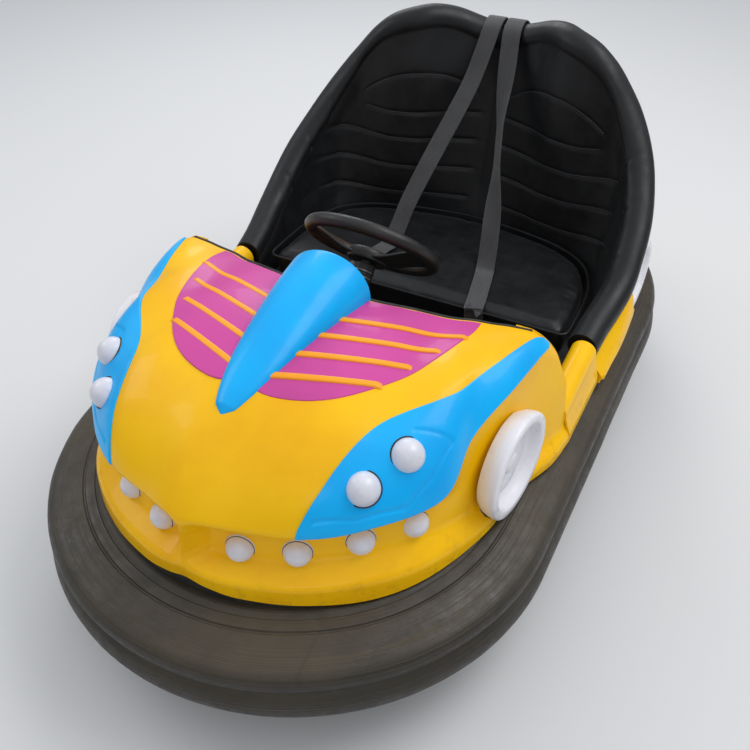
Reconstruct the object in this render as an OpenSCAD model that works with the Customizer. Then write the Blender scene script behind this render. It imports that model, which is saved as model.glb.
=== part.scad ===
// Two-seat bumper car with a floor pick-up: rubber bumper ring, moulded front and rear body,
// two-lobed seat tub, and a driven wheel that the steering column swivels.
// The car faces -Y, +X is its left side, and the floor it stands on is z = 0.

/* [Bumper ring] */
// Half of the ring's width, to its widest line
ring_half_w = 562; // [560:1:566]
// Half of the ring's length
ring_half_l = 984; // [940:2:1000]
// How much larger the nose arc's radius is than half of the ring's width
ring_nose_more = 8; // [2:1:30]
// How much smaller the four corner arcs' radius is than half of the ring's width
ring_corner_less = 16; // [10:1:40]
// Width of the ring's section
ring_section_w = 148; // [130:2:150]
// Radius of the ring's lower roll
ring_low_r = 50; // [44:1:54]
// Height of the ring's lower roll above the floor
ring_low_z = 190; // [180:1:198]
// Radius of the ring's upper roll
ring_top_r = 30; // [24:1:34]
// Height of the ring's upper roll above the floor
ring_top_z = 254; // [250:1:256]
// Setback of the ring's upper roll from the widest line
ring_top_inset = 7; // [4:1:14]
// Slope of the ring's broad top, degrees
ring_slope = 14; // [12:1:15]

/* [Chassis] */
// Thickness of the steel hoop behind the ring
band_t = 5; // [4:1:8]
// Height of the steel hoop's lower edge
band_z = 124; // [118:1:128]
// Height of the steel hoop's upper edge
band_top_z = 296; // [270:1:298]
// Height of the underside of the floor pan
pan_z = 162; // [158:1:168]
// Thickness of the floor pan
pan_t = 4; // [3:1:6]
// Side of the square chassis tube
rail_w = 40; // [34:1:42]
// Wall of the square chassis tube
rail_wall = 3; // [2:0.5:4]
// Half of the distance between the two long rails' middles
rail_x = 205; // [195:1:215]
// How far the rails' ends stay behind the foremost point of the steel hoop
rail_gap = 111; // [102:1:150]
// Thickness of the rubber floor mat
mat_t = 4; // [3:1:6]
// Clearance of the seat base inside the tub's foot
base_gap = 14; // [13:1:20]

/* [Body] */
// Wall of the moulded body
wall = 6; // [5:0.5:8]
// Height of the painted panels above the hood
panel_t = 5; // [4:0.5:7]
// Height of the louvre bars above their panel
bar_t = 5; // [4:0.5:7]
// Width of a louvre bar
bar_w = 13; // [10:1:16]
// Number of louvre bars on a side
bar_count = 4; // [3:1:5]
// Height of the nose cone's rear edge above the floor
cone_z = 724; // [700:1:730]
// Fit of parts let into the body
fit = 0.3; // [0.2:0.05:0.5]

/* [Lamps and discs] */
// Radius of a headlamp dome
head_r = 29; // [25:0.5:31]
// Radius of a mouth lamp dome
mouth_r = 25; // [20:0.5:27]
// Width of a lamp's rim
lamp_rim = 4; // [3:0.5:5]
// Radius of a front wheel disc
disc_r = 114; // [108:1:116]
// Depth of a front wheel disc
disc_d = 44; // [38:1:48]
// Radius of a rear wheel disc
rear_disc_r = 98; // [90:1:99]
// Depth of a rear wheel disc
rear_disc_d = 26; // [24:1:30]

/* [Seat] */
// Radius of the seat tub's rolled rim
roll_r = 36; // [32:1:38]
// Thickness of the seat tub's padded wall
tub_t = 24; // [18:1:26]
// Height of the seat cushion's top
cushion_top = 393; // [386:1:400]
// Radius of the seat cushion's corners
cushion_r = 26; // [20:1:30]
// Width of a belt's webbing
belt_w = 48; // [44:1:52]
// Thickness of a belt's webbing
belt_t = 3; // [2:0.5:4]

/* [Steering] */
// Radius of the steering wheel, to the middle of its rim
wheel_r = 142; // [130:1:150]
// Radius of the steering wheel's rim section
wheel_tube_r = 15; // [12:0.5:17]
// Tilt of the steering wheel from level, degrees
wheel_tilt = 48; // [44:1:52]
// Height of the steering wheel's centre above the drive's housing
wheel_rise = 368; // [356:1:376]
// Distance of the steering wheel's centre behind the drive's swivel axis
wheel_reach = 387; // [380:1:395]
// Radius of the steering shaft
shaft_r = 12; // [10:0.5:14]
// Radius of the steering column's tube
column_r = 24; // [22:0.5:27]
// Running clearance of shafts in their bearings
run = 0.3; // [0.2:0.05:0.5]

/* [Drive and wheels] */
// Radius of the driven front wheel
drive_r = 120; // [116:1:122]
// Width of the driven front wheel's tyre
drive_w = 80; // [70:1:86]
// Clearance between the driven wheel and the front cross rail
drive_gap = 80; // [60:2:90]
// Radius of the drive's stem
stem_r = 20; // [18:1:24]
// Thickness of the yoke's arms
yoke_t = 8; // [6:1:10]
// Radius of a rear wheel
caster_r = 70; // [64:1:70]
// Width of a rear wheel
caster_w = 45; // [40:1:50]
// Half of the distance between the rear wheels' middles
caster_x = 300; // [290:2:320]
// Distance of the rear axle ahead of the rear cross rail's middle
caster_gap = 160; // [140:2:180]
// Radius of the rear axle
axle_r = 12; // [10:0.5:14]
// Side clearance between turning parts and what carries them
side_gap = 5; // [5:0.5:7]

/* [Hidden] */
$fn = 48;

// Colours
yellow = "#FDC305";
cyan = "#04B4FB";
magenta = "#CF4B9C";
orange = "#FFA92B";
black = "#1C1D1F";
webbing = "#3A3A3C";
rubber = "#3A352E";
white = "#ECEBF1";
steel = "#8C8F93";

// Points and curves
function mix(a, b, t) = a * (1 - t) + b * t;
function flip(p) = [-p[0], p[1], p[2]];
function unit(v) = v / max(norm(v), 0.0001);
// Smooth curve through half a row of points that starts on the car's middle plane
function along(row, u) = let(
    n = len(row), i = min(floor(u), n - 2), t = u - i,
    b = row[i], c = row[i + 1],
    a = i > 0 ? row[i - 1] : flip(row[1]),
    d = i < n - 2 ? row[i + 2] : 2 * c - b)
    0.5 * (2 * b + (c - a) * t + (2 * a - 5 * b + 4 * c - d) * t * t
    + (3 * b - a - 3 * c + d) * t * t * t);
// The same curve on either side: u runs from -(n - 1) to n - 1
function across(row, u) = u < 0 ? flip(along(row, -u)) : along(row, u);
function bezier(a, b, c, t) = a * (1 - t) * (1 - t) + 2 * b * t * (1 - t) + c * t * t;

// Solid through closed sections of equal point counts, with both ends capped. Where the
// sections run the other way round, turned keeps the faces outwards.
function turn(faces, turned) = turned ? [for (f = faces) [f[0], f[2], f[1]]] : faces;
module loft(sections, turned = false) {
    n = len(sections);
    m = len(sections[0]);
    last = (n - 1) * m;
    sides = [for (i = [0:n - 2], j = [0:m - 1])
        let(a = i * m + j, b = i * m + (j + 1) % m, c = a + m, d = b + m) each [[a, b, d], [a, d, c]]];
    near = [for (j = [0:m / 2 - 2])
        let(a = j, b = j + 1, c = m - 2 - j, d = m - 1 - j) each [[a, c, b], [a, d, c]]];
    far = [for (f = near) [last + f[0], last + f[2], last + f[1]]];
    polyhedron([for (s = sections) each s], turn(concat(sides, near, far), turned));
}

// The body's points are drawn for a ring of this half width and half length, and move with
// the ring's sides and ends
drawn_for = [562, 984];
function set_point(p) = [p[0] * ring_half_w / drawn_for[0], p[1] * ring_half_l / drawn_for[1],
    each len(p) > 2 ? [p[2]] : []];
function set_row(row) = [for (p = row) set_point(p)];
// The tub's foot keeps its place beside the ring's inner edge
function inner_row(row) = [for (p = row) [p[0] * (ring_half_w - ring_section_w) / (drawn_for[0] - 148),
    p[1] * ring_half_l / drawn_for[1]]];

// The bumper ring's plan: a nose arc, two corner arcs and straight sides, each end alike
ring_nose_r = ring_half_w + ring_nose_more;
ring_corner_r = ring_half_w - ring_corner_less;
corner_x = ring_half_w - ring_corner_r;
nose_y = ring_half_l - ring_nose_r;
corner_y = nose_y + sqrt(pow(ring_nose_r - ring_corner_r, 2) - corner_x * corner_x);
nose_a = atan2(corner_x, corner_y - nose_y);

// One quarter of the plan's outline at an inset, from the nose to the left side
function quarter(inset) = concat(
    [for (a = [0:4]) let(t = nose_a * a / 4, r = ring_nose_r - inset)
        [r * sin(t), -nose_y - r * cos(t)]],
    [for (a = [1:9]) let(t = mix(nose_a, 90, a / 9), r = ring_corner_r - inset)
        [corner_x + r * sin(t), -corner_y - r * cos(t)]]);
function oval(inset) = let(q = quarter(inset), n = len(q)) concat(
    q, [for (i = [n - 1:-1:0]) [q[i][0], -q[i][1]]],
    [for (i = [1:n - 1]) [-q[i][0], -q[i][1]]], [for (i = [n - 1:-1:1]) [-q[i][0], q[i][1]]]);

// The ring's section, from the foot of the lower roll round to the inner wall;
// x = 0 is the widest line and -x is inwards
low_x = -ring_low_r;
top_x = -ring_top_inset - ring_top_r;
crest = [top_x + ring_top_r * sin(ring_slope), ring_top_z + ring_top_r * cos(ring_slope)];
ring_section = concat(
    [for (a = [-90:18:54]) [low_x, ring_low_z] + ring_low_r * [cos(a), sin(a)]],
    [for (a = [-20:23.5:90 - ring_slope]) [top_x, ring_top_z] + ring_top_r * [cos(a), sin(a)]],
    [[-ring_section_w, crest[1] + (crest[0] + ring_section_w) * tan(ring_slope)],
        [-ring_section_w, ring_low_z - ring_low_r + 12]]);
ring_lines = [for (p = ring_section) oval(-p[0])];
// Height of the ring's broad top under a point
function ring_inset(p) = let(x = abs(p[0]), y = abs(p[1]))
    y > nose_y && x < (y - nose_y) * tan(nose_a) ? ring_nose_r - norm([x, y - nose_y])
    : y > corner_y ? ring_corner_r - norm([x - corner_x, y - corner_y]) : ring_half_w - x;
function ring_top_at(p) = crest[1] + (ring_inset(p) + crest[0]) * tan(ring_slope);

// Solid swept through sections that close on themselves
module hoop(sections) {
    n = len(sections);
    m = len(sections[0]);
    polyhedron([for (s = sections) each s], [for (i = [0:n - 1], j = [0:m - 1])
        let(a = i * m + j, b = i * m + (j + 1) % m,
            c = (i + 1) % n * m + (j + 1) % m, d = (i + 1) % n * m + j) each [[a, b, d], [b, c, d]]]);
}
module bumper_ring() {
    color(rubber) hoop([for (i = [0:len(ring_lines[0]) - 1])
        [for (k = [0:len(ring_section) - 1])
            [ring_lines[k][i][0], ring_lines[k][i][1], ring_section[k][1]]]]);
}

band_inset = ring_section_w;
pan_inset = band_inset + band_t;

// An upright wall that follows the ring's plan between two insets
module oval_wall(outer, inner, low, high) {
    translate([0, 0, low]) linear_extrude(high - low) difference() {
        polygon(oval(outer));
        polygon(oval(inner));
    }
}
module ring_band() {
    color(steel) oval_wall(band_inset, pan_inset, band_z, band_top_z);
}

// The rails end short of the hoop; the drive, the steering and the rear axle keep their places on them
rail_half_l = ring_half_l - pan_inset - rail_gap;
rail_end_y = rail_half_l - rail_w / 2;
drive_y = rail_end_y - rail_w / 2 - drive_gap - drive_r;
wheel_y = drive_y - wheel_reach;
caster_y = rail_end_y - caster_gap;

// Floor pan, open over the driven wheel
well_r = sqrt(pow(drive_r, 2) + pow(drive_w / 2 + side_gap + yoke_t, 2)) + side_gap;
module floor_pan() {
    color(steel) difference() {
        translate([0, 0, pan_z]) linear_extrude(pan_t) polygon(oval(pan_inset));
        translate([0, -drive_y, pan_z - 1]) cylinder(r = well_r, h = pan_t + 2);
    }
}

cross_y = [-rail_end_y, -drive_y + 190, 40, caster_y - 100, rail_end_y];
module chassis_rails() {
    rail_z = pan_z - rail_w;
    color(steel) {
        for (side = [-1, 1]) translate([side * rail_x - rail_w / 2, -rail_half_l, rail_z])
            difference() {
                cube([rail_w, 2 * rail_half_l, rail_w]);
                translate([rail_wall, -1, rail_wall])
                    cube([rail_w - 2 * rail_wall, 2 * rail_half_l + 2, rail_w - 2 * rail_wall]);
            }
        for (y = cross_y)
            translate([-rail_x + rail_w / 2, y - rail_w / 2, rail_z])
                cube([2 * rail_x - rail_w, rail_w, rail_w]);
    }
}

// Front body: each row runs from the middle of the nose round to the doorway, left side.
// Stations: middle, keel, first to third mouth lamp, corner, ahead of the disc, disc, behind it, doorway.
hem = set_row([[0, -850, 349], [45, -849, 341], [109, -837, 332], [211, -798, 326], [315, -725, 317],
    [390, -628, 315], [444, -486, 313], [464, -350, 311], [500, -246, 310], [512, -160, 310]]);
lip = set_row([[0, -854, 385], [45, -850, 378], [109, -836, 374], [211, -796, 371], [314, -723, 367],
    [388, -626, 352], [441, -486, 335], [462, -350, 333], [498, -246, 332], [510, -160, 332]]);
mouth_low = set_row([[0, -847, 402], [34, -812, 396], [96, -787, 393], [190, -751, 393], [287, -687, 397],
    [362, -598, 388], [408, -488, 362], [432, -352, 347], [474, -242, 348], [496, -160, 350]]);
mouth_high = set_row([[0, -841, 446], [31, -802, 446], [93, -776, 446], [186, -741, 446], [280, -677, 452],
    [355, -589, 452], [402, -486, 438], [428, -354, 445], [462, -238, 450], [486, -160, 466]]);
brow = set_row([[0, -837, 488], [42, -830, 488], [107, -807, 480], [198, -778, 479], [292, -713, 480],
    [392, -592, 489], [396, -474, 540], [427, -350, 572], [446, -236, 577], [462, -176, 545]]);
shoulder = set_row([[0, -700, 692], [41, -700, 691], [100, -700, 689], [232, -704, 682], [262, -640, 690],
    [340, -545, 690], [372, -400, 655], [408, -300, 632], [432, -214, 612], [444, -184, 584]]);
cowl_edge = set_row([[0, -274, 638], [38, -280, 638], [95, -283, 634], [180, -258, 622], [245, -227, 602],
    [290, -210, 598], [330, -206, 600], [362, -204, 604], [390, -201, 604], [410, -196, 602]]);
// How far up the hood the lamp pods reach at each station, as a share of the hood's line
pod_top = [[0, 0.38], [3, 0.38], [4, 0.47], [5, 0.52], [6, 0.45], [7, 0.52], [8, 0.55], [9, 0.5]];
pod_first = 3;

pod_steps = 3;
hood_steps = 8;
span_steps = 3;
station_max = len(hem) - 1;
stations = [for (i = [-station_max * span_steps:station_max * span_steps]) i / span_steps];
function hood_share(u, k) = let(p = lookup(abs(u), pod_top))
    k <= pod_steps ? p * k / pod_steps : mix(p, 1, (k - pod_steps) / (hood_steps - pod_steps));
function hood_at(u, v) = bezier(across(brow, u), across(shoulder, u), across(cowl_edge, u), v);
function body_line(u) = concat([across(hem, u), across(lip, u), across(mouth_low, u),
    across(mouth_high, u)], [for (k = [0:hood_steps]) hood_at(u, hood_share(u, k))]);
skin = [for (u = stations) body_line(u)];
skin_rows = len(skin[0]);
brow_row = 4;
// Outward direction of the skin at a station and row
function skin_out(i, j) = let(
    n = len(skin), a = skin[max(i - 1, 0)][j], b = skin[min(i + 1, n - 1)][j],
    c = skin[i][max(j - 1, 0)], d = skin[i][min(j + 1, skin_rows - 1)])
    unit(cross(b - a, d - c));
// Skin moved out by a distance
function skin_at(i, j, out) = skin[i][j] + skin_out(i, j) * out;

// A layer of the skin between two distances from it. A layer that lies on the skin is
// turned, so that its faces meet the skin's own.
module skin_layer(low, high, rows, spans, turned = false) {
    near = turned ? low : high;
    far = turned ? high : low;
    loft([for (i = [spans[0]:spans[1]]) concat(
        [for (j = [rows[0]:rows[1]]) skin_at(i, j, near)],
        [for (j = [rows[1]:-1:rows[0]]) skin_at(i, j, far)])], turned);
}

// Lamps: place, and the direction each looks
head_lamps = set_row([[278, -672, 545], [322, -591, 572]]);
mouth_lamps_at = set_row([[85, -786, 408], [184, -750, 409], [278, -686, 423], [346, -604, 420]]);

module lamp(r) {
    rotate_extrude() intersection() {
        translate([0, -12]) square([r + lamp_rim, r + 12]);
        union() {
            translate([0, -12]) square([r - 3, 14]);
            translate([0, 0]) square([r + lamp_rim, 3]);
            intersection() {
                translate([0, 3 - r * 0.15]) circle(r);
                translate([0, 3]) square([r, r]);
            }
        }
    }
}
// Turns a lamp's axis from +Z to a direction and moves it to its place
module look(at, dir) {
    flat = norm([dir[0], dir[1]]);
    translate(at) rotate([0, 0, atan2(dir[1], dir[0])]) rotate([0, atan2(flat, dir[2]), 0]) children();
}
head_dir = [[0.36, -0.62, 0.70], [0.55, -0.45, 0.70]];
mouth_dir = [[0.25, -0.96, 0.12], [0.42, -0.9, 0.12], [0.62, -0.78, 0.1], [0.8, -0.6, 0.05]];
module head_pair() {
    for (i = [0, 1]) look(head_lamps[i], head_dir[i]) children();
}
module mouth_row() {
    for (side = [0, 1]) mirror([side, 0, 0])
        for (i = [0:3]) look(mouth_lamps_at[i], mouth_dir[i]) children();
}
module lamp_socket(r) {
    translate([0, 0, -12 - fit]) cylinder(r = r - 3 + fit, h = 40);
    translate([0, 0, -fit]) cylinder(r = r + lamp_rim + fit, h = 60);
}

// Front wheel disc, its axis along +X and its face at x = 0
disc_at = set_point([472, -384, 418]);
disc_turn = -6;
module wheel_disc(r, d) {
    rotate([0, 90, 0]) rotate_extrude() polygon([[0, -d], [r - 13, -d], [r, -d * 0.4], [r, -5], [r - 5, 0],
        [r - 20, 0], [r - 27, -6], [r - 34, -d * 0.5], [24, -d * 0.62], [18, -d * 0.42],
        [0, -d * 0.42]]);
}
module at_front_disc() {
    translate(disc_at) rotate([0, 0, disc_turn]) children();
}
rear_disc_at = set_point([514, 378, 416]);
rear_disc_turn = -2;
module at_rear_disc() {
    translate(rear_disc_at) rotate([0, 0, rear_disc_turn]) children();
}
module disc_pocket(r, d) {
    rotate([0, 90, 0]) translate([0, 0, -d - fit]) cylinder(r = r + fit, h = 120);
}
module disc_pockets() {
    for (side = [0, 1]) mirror([side, 0, 0]) {
        at_front_disc() disc_pocket(disc_r, disc_d);
        at_rear_disc() disc_pocket(rear_disc_r, rear_disc_d);
    }
}

module front_shell() {
    color(yellow) difference() {
        skin_layer(-wall, 0, [0, skin_rows - 1], [0, len(skin) - 1]);
        disc_pockets();
        for (side = [0, 1]) mirror([side, 0, 0]) head_pair() lamp_socket(head_r);
        mouth_row() lamp_socket(mouth_r);
    }
}

// Plan outline of the left louvre panel
louvre_plan = set_row([[107, -288], [180, -262], [248, -232], [311, -238], [311, -285], [301, -340],
    [284, -400], [264, -451], [237, -497], [208, -537], [176, -569], [141, -592], [105, -607],
    [70, -617], [44, -619], [54, -574], [72, -512], [84, -450], [97, -368]]);

// An upright prism over a plan outline, from below the hood's panels to above them
plan_z = 540;
plan_h = 400;
module plan_prism(plan, side) {
    mirror([side < 0 ? 1 : 0, 0, 0]) translate([0, 0, plan_z]) linear_extrude(plan_h) polygon(plan);
}
middle = station_max * span_steps;
// The stations of one side from the given one outwards; side is 1 on the left and -1 on the right
function side_spans(side, first) = side > 0 ? [middle + first * span_steps, len(skin) - 1]
    : [0, middle - first * span_steps];
module pod(side) {
    color(cyan) difference() {
        skin_layer(0, panel_t, [brow_row, brow_row + pod_steps], side_spans(side, pod_first), true);
        mirror([side < 0 ? 1 : 0, 0, 0]) head_pair() lamp_socket(head_r);
    }
}
module hood_layer(side, low, high, turned) {
    skin_layer(low, high, [brow_row, skin_rows - 1], side_spans(side, 0), turned);
}
module louvre(side) {
    color(magenta) intersection() {
        hood_layer(side, 0, panel_t, true);
        plan_prism(louvre_plan, side);
    }
}
// Louvre bars: from the cone outwards, each a strip in plan
bar_in = set_row([[95, -376], [53, -574]]);
bar_out = set_row([[306, -294], [222, -512]]);
function bar_end(ends, i) = mix(ends[0], ends[1], i / (bar_count - 1));
module louvre_bars(side) {
    color(orange) intersection() {
        hood_layer(side, panel_t, panel_t + bar_t, false);
        plan_prism(louvre_plan, side);
        mirror([side < 0 ? 1 : 0, 0, 0])
            for (i = [0:bar_count - 1]) let(a = bar_end(bar_in, i), b = bar_end(bar_out, i))
                translate([a[0], a[1], plan_z]) rotate([0, 0, atan2(b[1] - a[1], b[0] - a[0])])
                    translate([-40, -bar_w / 2, 0]) cube([norm(b - a) + 40, bar_w, plan_h]);
    }
}

// Nose cone: an arched hood that grows from its tip to the cowl's rear edge
cone_steps = 10;
cone_arc = 8;
cone_tip_v = 0.40;
function cone_section(s) = let(
    v = mix(cone_tip_v, 1, s),
    foot = hood_at(mix(0.12, 2.0, pow(s, 0.5)), v) + [0, 0, 1],
    top = mix(hood_at(0, cone_tip_v)[2] + 8, cone_z, 1 - pow(1 - s, 1.35)),
    thick = mix(3, 5, s))
    concat([for (k = [0:cone_arc]) let(a = 180 * k / cone_arc)
        [foot[0] * cos(a), foot[1], foot[2] + (top - foot[2]) * pow(sin(a), mix(1.5, 0.9, s))]],
    [for (k = [cone_arc:-1:0]) let(a = 180 * k / cone_arc)
        [max(foot[0] - thick, 1) * cos(a), foot[1],
            foot[2] + max(top - foot[2] - thick, 1) * pow(sin(a), mix(1.5, 0.9, s))]]);
module nose_cone() {
    color(cyan) loft([for (i = [0:cone_steps]) cone_section(i / cone_steps)]);
}

module headlamps() {
    color(white) head_pair() lamp(head_r);
}
module mouth_lamps() {
    color(white) mouth_row() lamp(mouth_r);
}
module front_disc() {
    color(white) at_front_disc() wheel_disc(disc_r, disc_d);
}
// The rear disc tucks under the seat tub's roll
module rear_disc() {
    color(white) difference() {
        at_rear_disc() wheel_disc(rear_disc_r, rear_disc_d);
        translate(roll[11]) rotate([-53, 0, 4]) cylinder(r = roll_r + 1.5, h = 400, center = true);
    }
}

// The seat base's top, clear of the ring's inner edge
flange_t = 6;
base_z = ring_top_at([ring_half_w - ring_section_w, 0]) + flange_t + 1;
// Seat tub: middle of the rolled rim, from the notch at the back to the left front end
roll = set_row([[0, 700, 832], [66, 690, 850], [124, 668, 872], [170, 636, 884], [212, 606, 882],
    [275, 584, 862], [328, 572, 822], [380, 552, 758], [425, 512, 688], [455, 462, 625],
    [478, 388, 560], [486, 308, 500], [486, 239, 452], [470, 141, 415], [462, 67, 392]]);
// Plan of the padded wall's foot, at the same stations
foot = inner_row([[0, 532], [66, 528], [124, 520], [155, 515], [185, 508], [230, 497], [280, 480],
    [330, 452], [368, 416], [392, 372], [408, 326], [416, 280], [420, 220], [421, 141], [421, 80]]);
// The rear body's hem
rear_hem = set_row([[0, 850, 318], [88, 842, 318], [170, 818, 317], [210, 800, 316], [250, 780, 315],
    [310, 742, 314], [372, 690, 313], [425, 620, 312], [465, 535, 311], [492, 440, 310],
    [506, 340, 310], [511, 250, 310], [512, 160, 310], [512, 110, 310], [512, 60, 310]]);
seat_max = len(roll) - 1;
seat_steps = 2;
seat_stations = [for (i = [-seat_max * seat_steps:seat_max * seat_steps]) i / seat_steps];
// Level direction that points out of a row at a station
function out_of(row, u) = let(a = across(row, max(u - 0.2, -seat_max)),
    b = across(row, min(u + 0.2, seat_max)), d = unit([b[0] - a[0], b[1] - a[1], 0]))
    [-d[1], d[0], 0];
roll_angles = [-75, -35, 5, 50, 90, 130, 172, 205];
function tub_section(u) = let(
    c = across(roll, u), o = out_of(roll, u), plan = across([for (p = foot) [p[0], p[1], 0]], u),
    f = plan + [0, 0, base_z + fit],
    inner = c - o * roll_r * cos(25) - [0, 0, roll_r * sin(25)],
    back = o * tub_t)
    concat([for (a = roll_angles) c + (o * cos(a) + [0, 0, sin(a)]) * roll_r],
    [mix(inner, f, 0.35) + o * 4, mix(inner, f, 0.7) + o * 6, f],
    [f + back, mix(inner, f, 0.7) + o * 6 + back, mix(inner, f, 0.35) + o * 4 + back,
        c - o * (roll_r * cos(60) - 2) - [0, 0, roll_r * sin(60)] + back * 0.4]);
module seat_tub() {
    color(black) loft([for (u = seat_stations)
        let(s = tub_section(u)) concat(s, [mix(s[len(s) - 1], s[0], 0.5) - [0, 0, 2]])], true);
}

// Rear body: a moulded wall from the hem to just under the seat tub's roll
function rear_top(u) = across(roll, u) + out_of(roll, u) * (roll_r - 12) - [0, 0, roll_r + 2];
function rear_section(u, thick) = let(
    t = rear_top(u), h = across(rear_hem, u), o = out_of(roll, u), q = out_of(rear_hem, u),
    belly = mix(h, t, 0.25) + o * 14, chest = mix(h, t, 0.65) + o * 10,
    shelf = h + [0, 0, 20])
    [h, shelf, belly, chest, t, t - o * thick, chest - o * thick, belly - o * thick,
        shelf - q * thick, h - q * thick];
module rear_wall(thick) {
    loft([for (u = seat_stations) rear_section(u, thick)], true);
}
module rear_shell() {
    color(yellow) difference() {
        rear_wall(wall);
        disc_pockets();
    }
}

// Door sill: a rolled edge from the cowl's side to the seat tub
sill_r = 30;
sill_out = hem[station_max][0];
sill_in = sill_out - 74;
sill_start = hem[station_max][1] + 6;
sill_end = rear_hem[seat_max][1] - 2;
sill_z = [376, 390];
module sill() {
    foot_z = ring_top_at([sill_in, 0]) + 2;
    color(yellow) loft([for (i = [0:4]) let(
        y = mix(sill_start, sill_end, i / 4), z = mix(sill_z[0], sill_z[1], i / 4), c = [sill_out - 44, y, z],
        arc = [for (a = [-5:39:190]) [cos(a), 0, sin(a)]])
        concat([[sill_out, y, 310], [sill_out - 1, y, 332]], [for (d = arc) c + d * sill_r],
            [[sill_in, y, foot_z]], [[sill_in + wall, y, foot_z]],
            [for (k = [len(arc) - 1:-1:0]) c + arc[k] * (sill_r - wall)],
            [[sill_out - 1 - wall, y, 330], [sill_out - wall, y, 310]])]);
}

// Rubber seal that follows the hem, from the ring's top to behind the body's edge
seal_t = 8;
hem_loop = concat([for (u = stations) across(hem, u)],
    [for (i = [len(seat_stations) - 1:-1:0]) across(rear_hem, seat_stations[i])]);
module hem_seal() {
    n = len(hem_loop);
    color(black) difference() {
        hoop([for (i = [0:n - 1]) let(
            a = hem_loop[(i + n - 1) % n], b = hem_loop[(i + 1) % n], p = hem_loop[i],
            d = unit([b[0] - a[0], b[1] - a[1], 0]), out = [d[1], -d[0], 0],
            near = p - out * (wall + 1), far = p - out * (wall + 1 + seal_t))
            [[near[0], near[1], ring_top_at(near) + 1], [near[0], near[1], p[2] + 8],
                [far[0], far[1], p[2] + 8], [far[0], far[1], ring_top_at(far) + 1]]]);
        disc_pockets();
    }
}

// Seat base with a flange that the tub's foot stands on, and the cushion inside the tub's foot
cushion_front = 95;
function both(half) = concat(half, [for (i = [len(half) - 1:-1:0]) if (half[i][0] > 0)
    [-half[i][0], half[i][1]]]);
module seat_plan(grow) {
    intersection() {
        offset(delta = grow) polygon(both(foot));
        translate([-ring_half_w, cushion_front - max(grow, 0)]) square([2 * ring_half_w, ring_half_l]);
    }
}
module seat_base() {
    low = pan_z + pan_t;
    front_half = foot[seat_max][0] - base_gap - wall - 1;
    color(black) {
        translate([0, 0, low]) linear_extrude(base_z - flange_t - low) difference() {
            seat_plan(-base_gap);
            seat_plan(-base_gap - wall);
        }
        translate([0, cushion_front, low]) translate([-front_half, 0, 0])
            cube([2 * front_half, wall, base_z - flange_t - low]);
        translate([0, 0, base_z - flange_t]) linear_extrude(flange_t) seat_plan(tub_t + 2);
    }
}
module seat_cushion() {
    color(black) translate([0, 0, base_z + fit]) linear_extrude(cushion_top - base_z - fit)
        offset(r = cushion_r) offset(delta = -cushion_r) seat_plan(-2);
}

// Belts: webbing from the notch down the seat back, over the cushion and to the seat base
belt_line = set_row([[31, 744, 738], [31, 743, 790], [31, 740, 834], [30, 729, 868], [28, 704, 886],
    [28, 680, 884], [29, 655, 868], [34, 632, 830], [47, 583, 752], [66, 519, 679], [85, 461, 615],
    [104, 405, 550], [120, 353, 488], [131, 312, 430], [138, 280, cushion_top + 4],
    [148, 240, cushion_top + 1], [168, 150, cushion_top + 1], [178, 98, cushion_top + 1],
    [180, 94.5, cushion_top], [181, 94, cushion_top - 12], [181, 94, base_z + fit]]);
module belt() {
    n = len(belt_line);
    color(webbing) loft([for (i = [0:n - 1]) let(
        p = belt_line[i], a = belt_line[max(i - 1, 0)], b = belt_line[min(i + 1, n - 1)],
        up = unit(cross(b - a, [1, 0, 0])), w = [belt_w / 2, 0, 0])
        [p - w, p + w, p + w + up * belt_t, p - w + up * belt_t]], true);
}
// The belts' plate behind the notch, bolted to the rear body on either side of each belt
plate_y = set_point([0, 748])[1];
plate_z = 746;
module belt_anchor() {
    color(steel) {
        translate([-72, plate_y, plate_z - 12]) cube([144, 4, 24]);
        for (b = [[-64, 10.2], [0, 6], [64, 10.2]])
            translate([b[0], plate_y - b[1], plate_z]) rotate([-90, 0, 0]) cylinder(r = 6, h = 4 + b[1]);
    }
}

// Height of the drive's yoke and of its housing, clear of the driven wheel
yoke_top = 2 * drive_r + side_gap;
housing_t = 4;
housing_z = yoke_top + 10 + side_gap;
wheel_z = housing_z + housing_t + wheel_rise;

// Steering: the column's axis runs from the wheel's centre forwards and down
module on_column() {
    translate([0, -wheel_y, wheel_z]) rotate([-wheel_tilt, 0, 0]) children();
}
// Distance down the axis to the gear box
column_len = (drive_y - wheel_y - 70) / sin(wheel_tilt);
hub_drop = 34;
module steering_wheel() {
    color(black) on_column() {
        rotate_extrude() translate([wheel_r, 0]) circle(wheel_tube_r);
        translate([0, 0, -hub_drop - 6]) difference() {
            cylinder(r = 46, h = 26);
            translate([0, 0, -1]) cylinder(r = shaft_r, h = 20);
        }
        for (a = [90, 270]) rotate([0, 0, a]) hull() {
            translate([20, -38, -hub_drop - 2]) cube([4, 76, 12]);
            translate([wheel_r - 6, -58, -6]) cube([2, 116, 10]);
        }
    }
}
module steering_shaft() {
    color(steel) on_column() translate([0, 0, -column_len])
        cylinder(r = shaft_r, h = column_len - hub_drop + 13);
}
module column_tube() {
    color(black) on_column() translate([0, 0, -column_len + 30]) difference() {
        cylinder(r = column_r, h = column_len - 30 - hub_drop - 6 - side_gap);
        translate([0, 0, -1]) cylinder(r = shaft_r + run, h = column_len);
    }
}

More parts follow.
